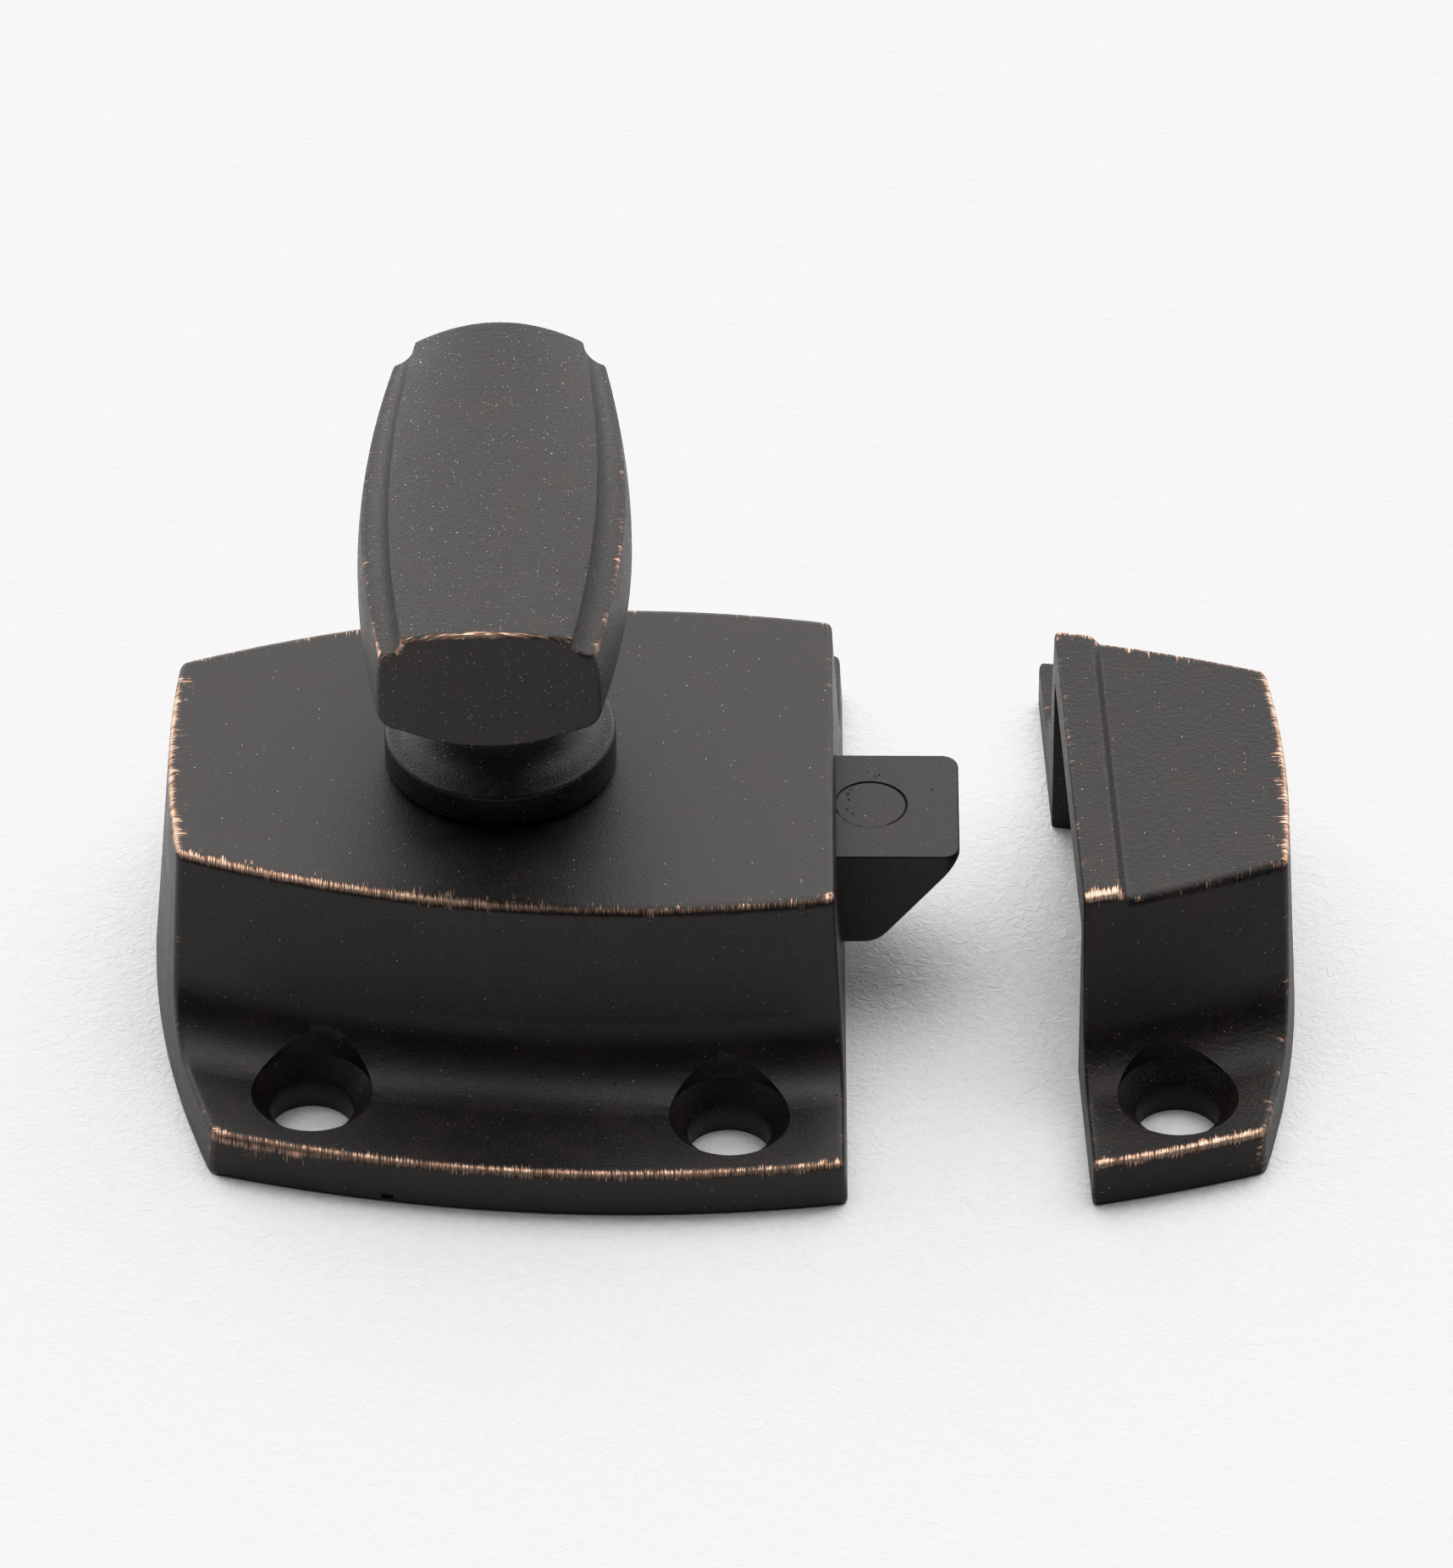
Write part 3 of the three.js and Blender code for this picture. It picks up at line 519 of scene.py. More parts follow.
# the front edges and the left end of the case are rubbed the most
case_points = points_of(case)
x, y, z = case_points.T
front = y < 0
left_end, right_end = case_ends(y, z)
on_top = swell(z, casting_height - 0.8, casting_height + 1, 0.3)
near_corner = swell(y, -26, -20.5, 2)
top_rub = np.where(front, 0.78 + 0.2 * swell(x, -21, -4, 10), 0.38 + 0.36 * swell(x, -20, -6, 4))
flange_rub = np.where(front, 0.86 + 0.03 * swell(x, -9, 22, 5), 0.4)
flange_face_rub = np.where(front, 0.2 + 0.92 * swell(x, -20, -12, 6), 0.1)
left_level_rub = 0.36 + on_top * (0.28 + 0.26 * swell(y, -12, 5, 4)) + 0.3 * near_corner
left_steep_rub = 0.3 + 0.35 * near_corner
right_level_rub = 0.12 + 0.75 * on_top * swell(y, -15, -12.9, 1.2)
case_outline = casting_outline(half_section)
mark_rubbing(case, casting_rubbing(
    case_points, top_rub, flange_rub, flange_face_rub,
    [(x - left_end, case_outline, left_level_rub, left_steep_rub),
     (right_end - x, case_outline, right_level_rub, 0.15)], casting_height))


def add(tree, kind, inputs=None, **settings):
    """A shader node with its settings, and each input set to a value or linked to a socket."""
    made = tree.nodes.new(kind)
    for name, value in settings.items():
        setattr(made, name, value)
    for name, value in (inputs or {}).items():
        if isinstance(value, bpy.types.NodeSocket):
            tree.links.new(value, made.inputs[name])
        else:
            made.inputs[name].default_value = value
    return made


def maths(tree, operation, *values):
    return add(tree, "ShaderNodeMath", dict(enumerate(values)), operation=operation).outputs[0]


def vectors(tree, operation, first, second, output="Vector"):
    return add(tree, "ShaderNodeVectorMath", {0: first, 1: second}, operation=operation).outputs[output]


def ramp(tree, value, low, high, to_low=0.0, to_high=1.0, smooth=True):
    """A value stretched from the range low to high onto another range."""
    inputs = {"Value": value, "From Min": low, "From Max": high, "To Min": to_low, "To Max": to_high}
    kind = "SMOOTHSTEP" if smooth else "LINEAR"
    return add(tree, "ShaderNodeMapRange", inputs, interpolation_type=kind, clamp=True).outputs["Result"]


def blended(tree, share, first, second):
    """Two colours mixed, each given as a socket or as red, green and blue."""
    first, second = [(*colour, 1.0) if isinstance(colour, tuple) else colour for colour in (first, second)]
    return add(tree, "ShaderNodeMix", {"Factor": share, 6: first, 7: second}, data_type="RGBA").outputs[2]


def grain(tree, position, scale, detail=2.0, roughness=0.5, distortion=0.0):
    """Noise over a position in millimetres, with so many patches to the millimetre."""
    inputs = {"Vector": position, "Scale": scale, "Detail": detail, "Roughness": roughness,
              "Distortion": distortion}
    return add(tree, "ShaderNodeTexNoise", inputs).outputs["Fac"]


def effect(name, inputs, outputs):
    """A node group with named inputs and outputs: its tree, what is given to it and what it puts out."""
    tree = bpy.data.node_groups.new(name, "ShaderNodeTree")
    kinds = {"value": "NodeSocketFloat", "vector": "NodeSocketVector", "colour": "NodeSocketColor"}
    for label, kind in inputs.items():
        tree.interface.new_socket(label, in_out="INPUT", socket_type=kinds[kind])
    for label, kind in outputs.items():
        tree.interface.new_socket(label, in_out="OUTPUT", socket_type=kinds[kind])
    entry = tree.nodes.new("NodeGroupInput")
    leave = tree.nodes.new("NodeGroupOutput")
    return tree, entry.outputs, leave.inputs


def place_effect(tree, group, inputs):
    return add(tree, "ShaderNodeGroup", inputs, node_tree=group).outputs


# Fine strokes that lie across an edge, from hands and cloths rubbing over it: many short ones, and a few
# long scratches.
rub_strokes, given, put = effect("rub_strokes", {"Position": "vector", "Short": "vector", "Long": "vector"},
                                 {"Strokes": "value", "Scratches": "value"})
short_run, long_run = [vectors(rub_strokes, "MULTIPLY", given["Position"], given[kind])
                       for kind in ("Short", "Long")]
short_strokes = ramp(rub_strokes, grain(rub_strokes, short_run, 1.0, detail=1.0), 0.3, 0.7, smooth=False)
long_strokes = ramp(rub_strokes, grain(rub_strokes, long_run, 1.0, detail=1.0), 0.5, 0.62, smooth=False)
clumps = ramp(rub_strokes, grain(rub_strokes, given["Position"], 0.9, detail=3.0, roughness=0.6), 0.34, 0.64)
clumped = maths(rub_strokes, "MULTIPLY_ADD", clumps, 0.2, 0.85)
rub_strokes.links.new(maths(rub_strokes, "MULTIPLY", short_strokes, clumped), put["Strokes"])
rub_strokes.links.new(maths(rub_strokes, "MULTIPLY", clumps, long_strokes), put["Scratches"])

# The bare metal along an edge: dense strokes on the edge itself with a brown fringe round them, thinning out
# to single scratches away from it.
worn_edge, given, put = effect(
    "worn_edge", {"Distance": "value", "Reach": "value", "Strokes": "value", "Scratches": "value"},
    {"Bare": "value"})
long_reach = maths(worn_edge, "MULTIPLY", given["Reach"], 3.4)
nearness, farness = [
    maths(worn_edge, "SUBTRACT", 1.0, maths(worn_edge, "DIVIDE", given["Distance"], reach))
    for reach in (given["Reach"], long_reach)]
crowded = maths(worn_edge, "MULTIPLY_ADD", nearness, 1.9, given["Strokes"])
dense = ramp(worn_edge, crowded, 1.25, 2.55, smooth=False)
scattered = maths(worn_edge, "MULTIPLY_ADD", given["Scratches"], 0.6, farness)
single = ramp(worn_edge, scattered, 0.95, 1.5, 0.0, 0.75)
fringe = ramp(worn_edge, nearness, 0.1, 0.9, 0.0, 0.2)
strongest = maths(worn_edge, "MAXIMUM", dense, single)
worn_edge.links.new(maths(worn_edge, "MAXIMUM", fringe, strongest), put["Bare"])

# Pale specks of dust and lint caught on a surface: a sprinkle of fine ones and a few larger.
dust_specks, given, put = effect(
    "dust_specks", {"Position": "vector", "Fine": "value", "Coarse": "value"}, {"Specks": "value"})
sprinkled = []
for per_millimetre, size, share in ((4.6, 0.15, given["Fine"]), (1.15, 0.06, given["Coarse"])):
    cells = add(dust_specks, "ShaderNodeTexVoronoi", {"Vector": given["Position"], "Scale": per_millimetre})
    luck = add(dust_specks, "ShaderNodeSeparateColor", {"Color": cells.outputs["Color"]}).outputs
    reach = maths(dust_specks, "MULTIPLY_ADD", luck["Green"], size * 0.9, size * 0.45)
    close = ramp(dust_specks, maths(dust_specks, "DIVIDE", cells.outputs["Distance"], reach), 1.0, 0.6)
    chosen = maths(dust_specks, "LESS_THAN", luck["Red"], share)
    paleness = maths(dust_specks, "MULTIPLY_ADD", luck["Blue"], 0.75, 0.25)
    settled = maths(dust_specks, "MULTIPLY", chosen, paleness)
    sprinkled.append(maths(dust_specks, "MULTIPLY", close, settled))
dust_specks.links.new(maths(dust_specks, "MAXIMUM", *sprinkled), put["Specks"])

# The cast skin under the patina: a fine grain with shallow pits, as height and as an unevenness of tone.
cast_skin, given, put = effect("cast_skin", {"Position": "vector", "Grain": "value", "Pits": "value"},
                               {"Height": "value", "Tone": "value", "Spots": "value"})
fine = grain(cast_skin, given["Position"], given["Grain"], detail=3.0, roughness=0.6)
broad = grain(cast_skin, given["Position"], 0.35, detail=4.0, roughness=0.6)
pit_cells = add(cast_skin, "ShaderNodeTexVoronoi", {"Vector": given["Position"], "Scale": 1.6})
pit_luck = add(cast_skin, "ShaderNodeSeparateColor", {"Color": pit_cells.outputs["Color"]}).outputs["Red"]
pit_chosen = maths(cast_skin, "MULTIPLY", given["Pits"], maths(cast_skin, "LESS_THAN", pit_luck, 0.07))
pit = maths(cast_skin, "MULTIPLY", ramp(cast_skin, pit_cells.outputs["Distance"], 0.12, 0.04), pit_chosen)
pitted = maths(cast_skin, "SUBTRACT", fine, maths(cast_skin, "MULTIPLY", pit, 4.0))
cast_skin.links.new(pitted, put["Height"])
uneven = maths(cast_skin, "MULTIPLY_ADD", broad, 0.6, maths(cast_skin, "MULTIPLY", fine, 0.4))
cast_skin.links.new(uneven, put["Tone"])
cast_skin.links.new(ramp(cast_skin, fine, 0.36, 0.64), put["Spots"])

# Oil-rubbed bronze: near-black patina with brown patches, brown where it is thin and copper where it is
# gone, with pale dust over it.
bronze_patina, given, put = effect(
    "bronze_patina",
    {"Tone": "value", "Spots": "value", "Bare": "value", "Specks": "value", "Mottle": "value"},
    {"Colour": "colour", "Roughness": "value", "Metallic": "value"})
dark_patina, brown_patina = (0.0070, 0.0063, 0.0062), (0.0180, 0.0118, 0.0100)
thin_patina, dull_copper, bare_copper = (0.055, 0.033, 0.025), (0.36, 0.22, 0.155), (0.80, 0.61, 0.48)
dust = (0.64, 0.60, 0.56)
brown_patches = ramp(bronze_patina, given["Tone"], 0.44, 0.62)
brown_share = maths(bronze_patina, "MULTIPLY", brown_patches, given["Mottle"])
skin = blended(bronze_patina, brown_share, dark_patina, brown_patina)
for colour, starts, ends in ((thin_patina, 0.02, 0.4), (dull_copper, 0.25, 0.6), (bare_copper, 0.55, 1.0)):
    skin = blended(bronze_patina, ramp(bronze_patina, given["Bare"], starts, ends), skin, colour)
bronze_patina.links.new(blended(bronze_patina, given["Specks"], skin, dust), put["Colour"])
spotted = maths(bronze_patina, "MULTIPLY", given["Spots"], given["Mottle"])
satin = ramp(bronze_patina, given["Tone"], 0.35, 0.65, 0.34, 0.41)
bronze_patina.links.new(maths(bronze_patina, "MULTIPLY_ADD", spotted, 0.09, satin), put["Roughness"])
bare_metal = ramp(bronze_patina, given["Bare"], 0.15, 0.7, 0.0, 0.8)
undusted = maths(bronze_patina, "SUBTRACT", 1.0, given["Specks"])
bronze_patina.links.new(maths(bronze_patina, "MULTIPLY", bare_metal, undusted), put["Metallic"])


def new_material(name):
    """A new material, with its tree, its shader and the position on the piece in millimetres."""
    material = bpy.data.materials.new(name)
    material.use_nodes = True
    tree = material.node_tree
    place = add(tree, "ShaderNodeTexCoord").outputs["Object"]
    return material, tree, tree.nodes["Principled BSDF"], vectors(tree, "MULTIPLY", place, (1 / MM,) * 3)


def bronzed(name, reach=(0.8, 0.8, 0.7), grain_size=5.5, grain_height=0.02, fine_dust=0.1,
            coarse_dust=0.2, mottle=0.8, shine=0.45):
    """Oil-rubbed bronze for one casting. Reach is how far strokes run from edges along X, Y and Z."""
    material, tree, shader, position = new_material(name)
    shader.inputs["Specular IOR Level"].default_value = shine
    shader.inputs["Specular Tint"].default_value = (1.0, 0.955, 0.925, 1.0)
    bare = None
    for axis, field in enumerate(("rub_x", "rub_y", "rub_z")):
        short, long = [1.2] * 3, [0.4] * 3
        short[axis], long[axis] = 15.0, 9.0
        distance = add(tree, "ShaderNodeAttribute", attribute_name=field).outputs["Fac"]
        marks = place_effect(tree, rub_strokes, {"Position": position, "Short": short, "Long": long})
        worn = place_effect(tree, worn_edge, {
            "Distance": distance, "Reach": reach[axis], "Strokes": marks["Strokes"],
            "Scratches": marks["Scratches"]})["Bare"]
        bare = worn if bare is None else maths(tree, "MAXIMUM", bare, worn)
    specks = place_effect(tree, dust_specks, {
        "Position": position, "Fine": fine_dust, "Coarse": coarse_dust})["Specks"]
    cast = place_effect(tree, cast_skin, {"Position": position, "Grain": grain_size, "Pits": 1.0})
    look = place_effect(tree, bronze_patina, {
        "Tone": cast["Tone"], "Spots": cast["Spots"], "Bare": bare, "Specks": specks, "Mottle": mottle})
    tree.links.new(look["Colour"], shader.inputs["Base Color"])
    tree.links.new(look["Roughness"], shader.inputs["Roughness"])
    tree.links.new(look["Metallic"], shader.inputs["Metallic"])
    cast_height = maths(tree, "MULTIPLY", cast["Height"], grain_height)
    height = maths(tree, "MULTIPLY_ADD", bare, -0.012, cast_height)
    raised = add(tree, "ShaderNodeBump", {"Height": height, "Distance": MM, "Strength": 1.0})
    tree.links.new(raised.outputs["Normal"], shader.inputs["Normal"])
    return material


def smooth(piece, angle=38):
    """Smooth shading with sharp edges kept, weighted so that large flat faces stay flat."""
    piece.data.shade_smooth()
    piece.data.set_sharp_from_angle(angle=math.radians(angle))
    piece.modifiers.new("weighted", "WEIGHTED_NORMAL").keep_sharp = True
    return piece


def dress(piece, material, body, *nodes, slot="bronzed_casting"):
    """Gives a finished piece its material, puts it on its body and lets it stand for its CAD node."""
    piece.data.materials.clear()
    piece.data.materials.append(material)
    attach(piece, body)
    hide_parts(*nodes)


dress(smooth(case), bronzed("case_bronze"), "case", "case")

# ---------------------------------------------------------------- strike
# The strike is a second bronzed casting of the same section: a bridge between two screw ends, with a raised
# ridge along the edge that meets the case. It is lofted, cut and rubbed like the case, open underneath, and
# lies loose, a few degrees askew.
swing = next(joint for joint in frame["joints"] if joint["name"] == "strike_swing")
strike_pole = np.array(swing["pos_m"]) / MM
strike_askew = math.radians(swing["range_deg"][1])
strike_gap = 1.0
strike_length = 13.6
strike_left = case_right + strike_gap
strike_right = strike_left + strike_length
strike_bow_radius = 74.0
strike_end_lean = 0.65
ridge_width = 2.25
ridge_drop = 0.65
ridge_slope = 0.75
ridge_reach = 4.0
step_start = ridge_width - 0.2


def turned_about_pole(points, angle):
    """Swings points about the strike's pole, from square to the case to where the strike lies, or back."""
    moved = np.array(points, float)
    c, s = math.cos(angle), math.sin(angle)
    dx, dy = moved[..., 0] - strike_pole[0], moved[..., 1] - strike_pole[1]
    moved[..., 0] = strike_pole[0] + c * dx - s * dy
    moved[..., 1] = strike_pole[1] + s * dx + c * dy
    return moved


def reshape(mesh, change):
    """Moves a mesh's points by a function of them in millimetres."""
    places = change(np.array([point.co for point in mesh.vertices]) / MM)
    mesh.vertices.foreach_set("co", (places * MM).astype(np.float32).ravel())
    mesh.update()


def step_down(inset):
    """How far the strike's top lies under its ridge, at a distance from the ridge's edge: a soft step."""
    share = np.clip((np.asarray(inset, float) - step_start) / ridge_slope, 0, 1)
    return ridge_drop * share * share * (3 - 2 * share)


def lowered(half, drop):
    """The same half section with its top let down, its wall staying in the same plane."""
    top, top_move, foot, foot_move = half
    wall_foot, wall_head = flange_thickness + flange_fillet, casting_height - top_edge_round
    share = np.clip((top[:, 1] - wall_foot) / (wall_head - wall_foot), 0, 1)
    outward = math.tan(wall_batter) * drop * share * np.clip(top[:, 0] / top_half_depth, 0, 1)
    foot = foot.copy()
    foot[:, 0] += np.where(foot[:, 1] <= 0, outward, 0)
    return top + np.stack([outward, -drop * share], axis=1), top_move, foot, foot_move


def strike_ends(y, z):
    lean = strike_end_lean * z / casting_height
    return strike_left + np.zeros(y.shape), strike_right - y ** 2 / (2 * strike_bow_radius) - lean


strike_upright = between_ends(strike_ends, ridge_reach)


def strike_place(grid, where):
    return turned_about_pole(strike_upright(grid, where), strike_askew)


def strike_section(inset, shrink=0.0):
    return section_grid(lowered(half_section, float(step_down(inset))), shrink)


strike_insets = [0.5, 0.8, 1.2, 1.6, 1.9, *[step_start + ridge_slope * i / 10 for i in range(11)], 3.1, 3.5]
low_section = strike_section(strike_length)
strike_stations = [(strike_section(0, shrink), (0, inset)) for inset, shrink in end_stations(end_edge_round)]
strike_stations += [(strike_section(inset), (0, inset)) for inset in strike_insets]
strike_stations += [(low_section, (i / 9, 0.0)) for i in range(1, 8)]
strike_stations += [(low_section, (1.0, -inset)) for inset in (1.2, 0.8, 0.5)]
strike_stations += [(strike_section(strike_length, shrink), (1.0, -inset))
                    for inset, shrink in reversed(end_stations(end_edge_round))]
strike = piece_of("strike_casting", loft(strike_stations, strike_place))
strike_hollow_right = strike_right - strike_end_lean - wall_thickness
strike_ceiling = casting_height - ridge_drop - top_thickness
strike_hole_x, strike_hole_inset = strike_left + 5.45, 7.5
strike_cuts = [
    prism(hollow_outline(strike_left - overrun, strike_hollow_right, 0, 0), -overrun, strike_ceiling),
    *[screw_hole(strike_hole_x, side * (casting_half_depth - strike_hole_inset)) for side in (-1, 1)],
]
for cut in strike_cuts:
    reshape(cut, lambda points: turned_about_pole(points, strike_askew))
carve(strike, strike_cuts)

strike_points = turned_about_pole(points_of(strike), -strike_askew)
x, y, z = strike_points.T
front = y < 0
inset = x - strike_left
right_inset = strike_ends(y, z)[1] - x
on_ridge = swell(inset, -1, 2.2, 0.5)
on_top = swell(z, casting_height - ridge_drop - 0.8, casting_height + 1, 0.3)
near_corner = swell(y, -26, -21, 2)
front_top_rub = 0.2 + 0.95 * on_ridge + 0.5 * swell(right_inset, -1, 0.8, 1.2)
top_rub = np.where(front, front_top_rub, 0.82 + 0.14 * on_ridge)
flange_rub = np.where(front, 0.94 + 0.06 * swell(inset, 7, 14, 3), 0.4)
left_steep_rub = 0.1 + 0.4 * swell(y, -26, -22, 2)
right_level_rub = 0.4 + 0.47 * on_top + 0.35 * near_corner
right_steep_rub = 0.25 + 0.35 * near_corner
low_outline = casting_outline(lowered(half_section, ridge_drop))
mark_rubbing(strike, casting_rubbing(
    strike_points, top_rub, flange_rub, np.full(len(x), 0.15),
    [(inset, case_outline, 0.2, left_steep_rub),
     (right_inset, low_outline, right_level_rub, right_steep_rub)], casting_height - step_down(inset)))
strike_bronze = bronzed("strike_bronze", reach=(0.9, 0.8, 0.8), grain_size=3.9, grain_height=0.05,
                        fine_dust=0.14, mottle=1.0, shine=0.32)
dress(smooth(strike), strike_bronze, "strike", "strike")

# ---------------------------------------------------------------- toggle knob
# The knob is one more bronzed casting: a disc that turns on the case, a waisted neck, and a long crowned
# head with a cove along both shoulders. The head is lofted and joined to the turned neck, and the whole is
# pressed over the spindle, leaning and turned by a degree or so.
knob_foot = box_of("toggle_knob")[0][2]
disc_radius, disc_height, rim_round, rim_land = 6.9, 2.1, 0.3, 0.25
neck_radius, neck_cove_height, neck_flare, neck_overlap = 3.6, 4.2, 2.6, 0.9
head_length, head_height, head_lift = 30.2, 8.5, 12.4
head_top = knob_foot + head_lift + head_height
head_crown, cove_depth, under_crown, lower_round = 1.0, 1.45, 0.8, 1.1
top_half_width, shoulder_half_width, side_half_width = 6.15, 7.75, 8.1
side_swell, shoulder_round, crown_edge_round, head_end_round = 0.42, 0.26, 0.17, 0.28
head_taper, head_end_bow_radius = 0.19, 18.5
knob_lean, knob_turned = math.radians(1.4), math.radians(-1.2)
spindle_socket_radius, spindle_socket_depth = 2.55, 9.05
head_bottom = -head_height + under_crown
shoulder_height = -head_crown - cove_depth


def head_section():
    """Half of the head's section from its side to its middle, in the same form as the casting's."""
    cove_width = shoulder_half_width - top_half_width
    side_foot = head_bottom + lower_round + 0.5
    side = [(side_half_width + (shoulder_half_width - side_half_width) * s + side_swell * s * (1 - s),
             side_foot + (shoulder_height - side_foot) * s, 0) for s in (0, 0.16, 0.32, 0.48, 0.64, 0.8)]
    cove = [(top_half_width + cove_width * (1 - math.cos(a)), -head_crown - cove_depth * math.sin(a), 0)
            for a in (math.pi / 2 * i / 8 for i in range(7, 0, -1))]
    crown = [(top_half_width * s, -head_crown * s * s, 0) for s in (i / 9 for i in range(8, -1, -1))]
    shoulder = (shoulder_half_width, shoulder_height, shoulder_round)
    crown_edge = (top_half_width, -head_crown, crown_edge_round)
    top, top_move = rounded_path([*side, shoulder, *cove, crown_edge, *crown], steps=5)
    flat = side_half_width - lower_round
    under = [(flat * s, -head_bottom + under_crown * (1 - s * s), 0)
             for s in (i / 8 for i in range(7, -1, -1))]
    foot, foot_move = rounded_path([(side_half_width, -head_bottom - lower_round - 0.05, 0),
                                    (side_half_width, -head_bottom, lower_round), *under], steps=10)
    foot[:, 1] *= -1
    foot_move[:, 1] *= -1
    places = np.linspace(0, len(foot) - 1, len(top))
    whole = np.arange(len(foot))
    foot = np.stack([np.interp(places, whole, foot[:, i]) for i in (0, 1)], axis=1)
    foot_move = np.stack([np.interp(places, whole, foot_move[:, i]) for i in (0, 1)], axis=1)
    return top, top_move, foot, foot_move


def head_place(grid, y):
    along = y / (head_length / 2)
    points = np.zeros(grid.shape[:2] + (3,))
    points[..., 0] = grid[..., 0] * (1 - head_taper * along ** 2)
    points[..., 1] = y - along * points[..., 0] ** 2 / (2 * head_end_bow_radius)
    points[..., 2] = grid[..., 1] + head_top
    return points


def arc_profile(centre, start, end, steps=14):
    """Points round a quarter of an ellipse about a centre, from start to end."""
    centre, start, end = (np.array(p, float) for p in (centre, start, end))
    return [tuple(centre + (start - centre) * math.cos(a) + (end - centre) * math.sin(a))
            for a in (math.pi / 2 * i / steps for i in range(steps + 1))]


def askew(points, undo=False):
    """Leans and turns the knob as it stands, or sets its points upright again."""
    moved = np.array(points, float)
    lean, turn = (knob_lean, -knob_turned) if undo else (-knob_lean, knob_turned)

    def spin(values, a, b, angle):
        c, s = math.cos(angle), math.sin(angle)
        values[:, a], values[:, b] = (c * values[:, a] - s * values[:, b],
                                      s * values[:, a] + c * values[:, b])

    moved[:, 2] -= knob_foot
    for step in ("turn", "lean") if undo else ("lean", "turn"):
        spin(moved, *((0, 1, turn) if step == "turn" else (2, 0, lean)))
    moved[:, 2] += knob_foot
    return moved


head_half = head_section()
head_whole = section_grid(head_half, 0)
head_ends = [(section_grid(head_half, shrink), inset) for inset, shrink in end_stations(head_end_round)]
head_run = [0.45, 0.75, 1.2, 1.8, 2.6] + list(np.linspace(3.6, head_length / 2, 12)[:-1])
head_near = head_ends + [(head_whole, inset) for inset in head_run]
head_stations = [(grid, inset - head_length / 2) for grid, inset in head_near]
head_stations += [(head_whole, 0.0)]
head_stations += [(grid, head_length / 2 - inset) for grid, inset in reversed(head_near)]
knob = piece_of("toggle_knob_casting", loft(head_stations, head_place))
rim_inner = disc_radius - rim_round - rim_land
cove_foot = knob_foot + disc_height
head_seat = head_top - head_height + under_crown / 2
flare_radius, flare_foot = neck_radius + neck_flare, head_seat - neck_flare
neck_top = head_seat + neck_overlap
neck_profile = [
    (0, knob_foot - overrun), (disc_radius, knob_foot - overrun),
    *arc_profile((disc_radius - rim_round, cove_foot - rim_round), (disc_radius, cove_foot - rim_round),
                 (disc_radius - rim_round, cove_foot), 6),
    *arc_profile((rim_inner, cove_foot + neck_cove_height), (rim_inner, cove_foot),
                 (neck_radius, cove_foot + neck_cove_height)),
    *arc_profile((flare_radius, flare_foot), (neck_radius, flare_foot), (flare_radius, head_seat)),
    (flare_radius, neck_top), (0, neck_top)]
carve(knob, [turned(neck_profile, segments=96)], "UNION")
reshape(knob.data, askew)
under_knob = block((-20, -20, 0), (20, 20, knob_foot))
carve(knob, [under_knob, rod(spindle_socket_radius, 0, knob_foot + spindle_socket_depth, segments=48)])

knob_points = askew(points_of(knob), undo=True)
x, y, z = knob_points.T
head = swell(z, head_top - head_height, head_top + 1, 0.3)
front = y < 0
along = y / (head_length / 2)
across = np.abs(x) / (1 - head_taper * np.clip(along, -1, 1) ** 2)
height = z - head_top
end_bow = np.clip(along, -1, 1) * x ** 2 / (2 * head_end_bow_radius)
end_inset = head_length / 2 - np.sign(y) * (y + end_bow)
depth, steep = outline_distance(across, height, np.vstack([head_half[2][::-1], head_half[0]]))
end_edge = np.clip(np.hypot(np.clip(end_inset, 0, None), depth) - 0.08, 0, None)
far_from_head = np.where(head > 0.5, 0.0, unrubbed)
upper = swell(height, -2.9, 1, 0.4)
end_amount = np.where(front, (1.0 - 0.1 * swell(x, 3, 9, 2)) * upper, 0.35 * upper)
front_corner = (0.95 - 0.2 * swell(x, 0, 9, 0.5)) * swell(height, -3.6, -0.6, 0.7)
corner_amount = np.where(front, 0.1 + front_corner, 0.1)
shoulder_edge = np.hypot(across - shoulder_half_width, height - shoulder_height)
shoulder_amount = (0.6 + 0.08 * swell(x, 4, 9, 1) + 0.2 * swell(y, -16, -5, 4) + 0.15 * swell(y, -16, -13, 2)
                   + 0.15 * swell(x, -9, -4, 1) * swell(y, -16, -11, 3))
rim_edge = np.hypot(np.hypot(x, y) - disc_radius + 0.1, z - cove_foot + 0.1)
mark_rubbing(knob, {
    "rub_x": np.full(len(knob_points), unrubbed),
    "rub_y": np.minimum(np.where(steep, unrubbed, rubbed(end_edge, end_amount)),
                        rubbed(np.clip(shoulder_edge - 0.1, 0, None), shoulder_amount)) + far_from_head,
    "rub_z": np.minimum(np.where(steep, rubbed(end_edge, corner_amount), unrubbed) + far_from_head,
                        rubbed(np.clip(rim_edge - 0.1, 0, None), 0.2)),
})
knob_bronze = bronzed("knob_bronze", reach=(0.6, 0.4, 0.55), grain_height=0.034, fine_dust=0.65,
                      coarse_dust=0.6, mottle=1.0, shine=0.43)
dress(smooth(knob), knob_bronze, "knob", "toggle_knob")

# ---------------------------------------------------------------- bolt
# The bolt is a bronzed block, bevelled underneath to ride up over the strike, with a round ejector mark on
# top. It is cut to its side view and softened, and two low arms are joined on behind: one has the lug that
# the cam pushes, one the spring's tab.
bolt_tip, bolt_top, bolt_tail = bolt_high[0], bolt_high[2], bolt_low[2]
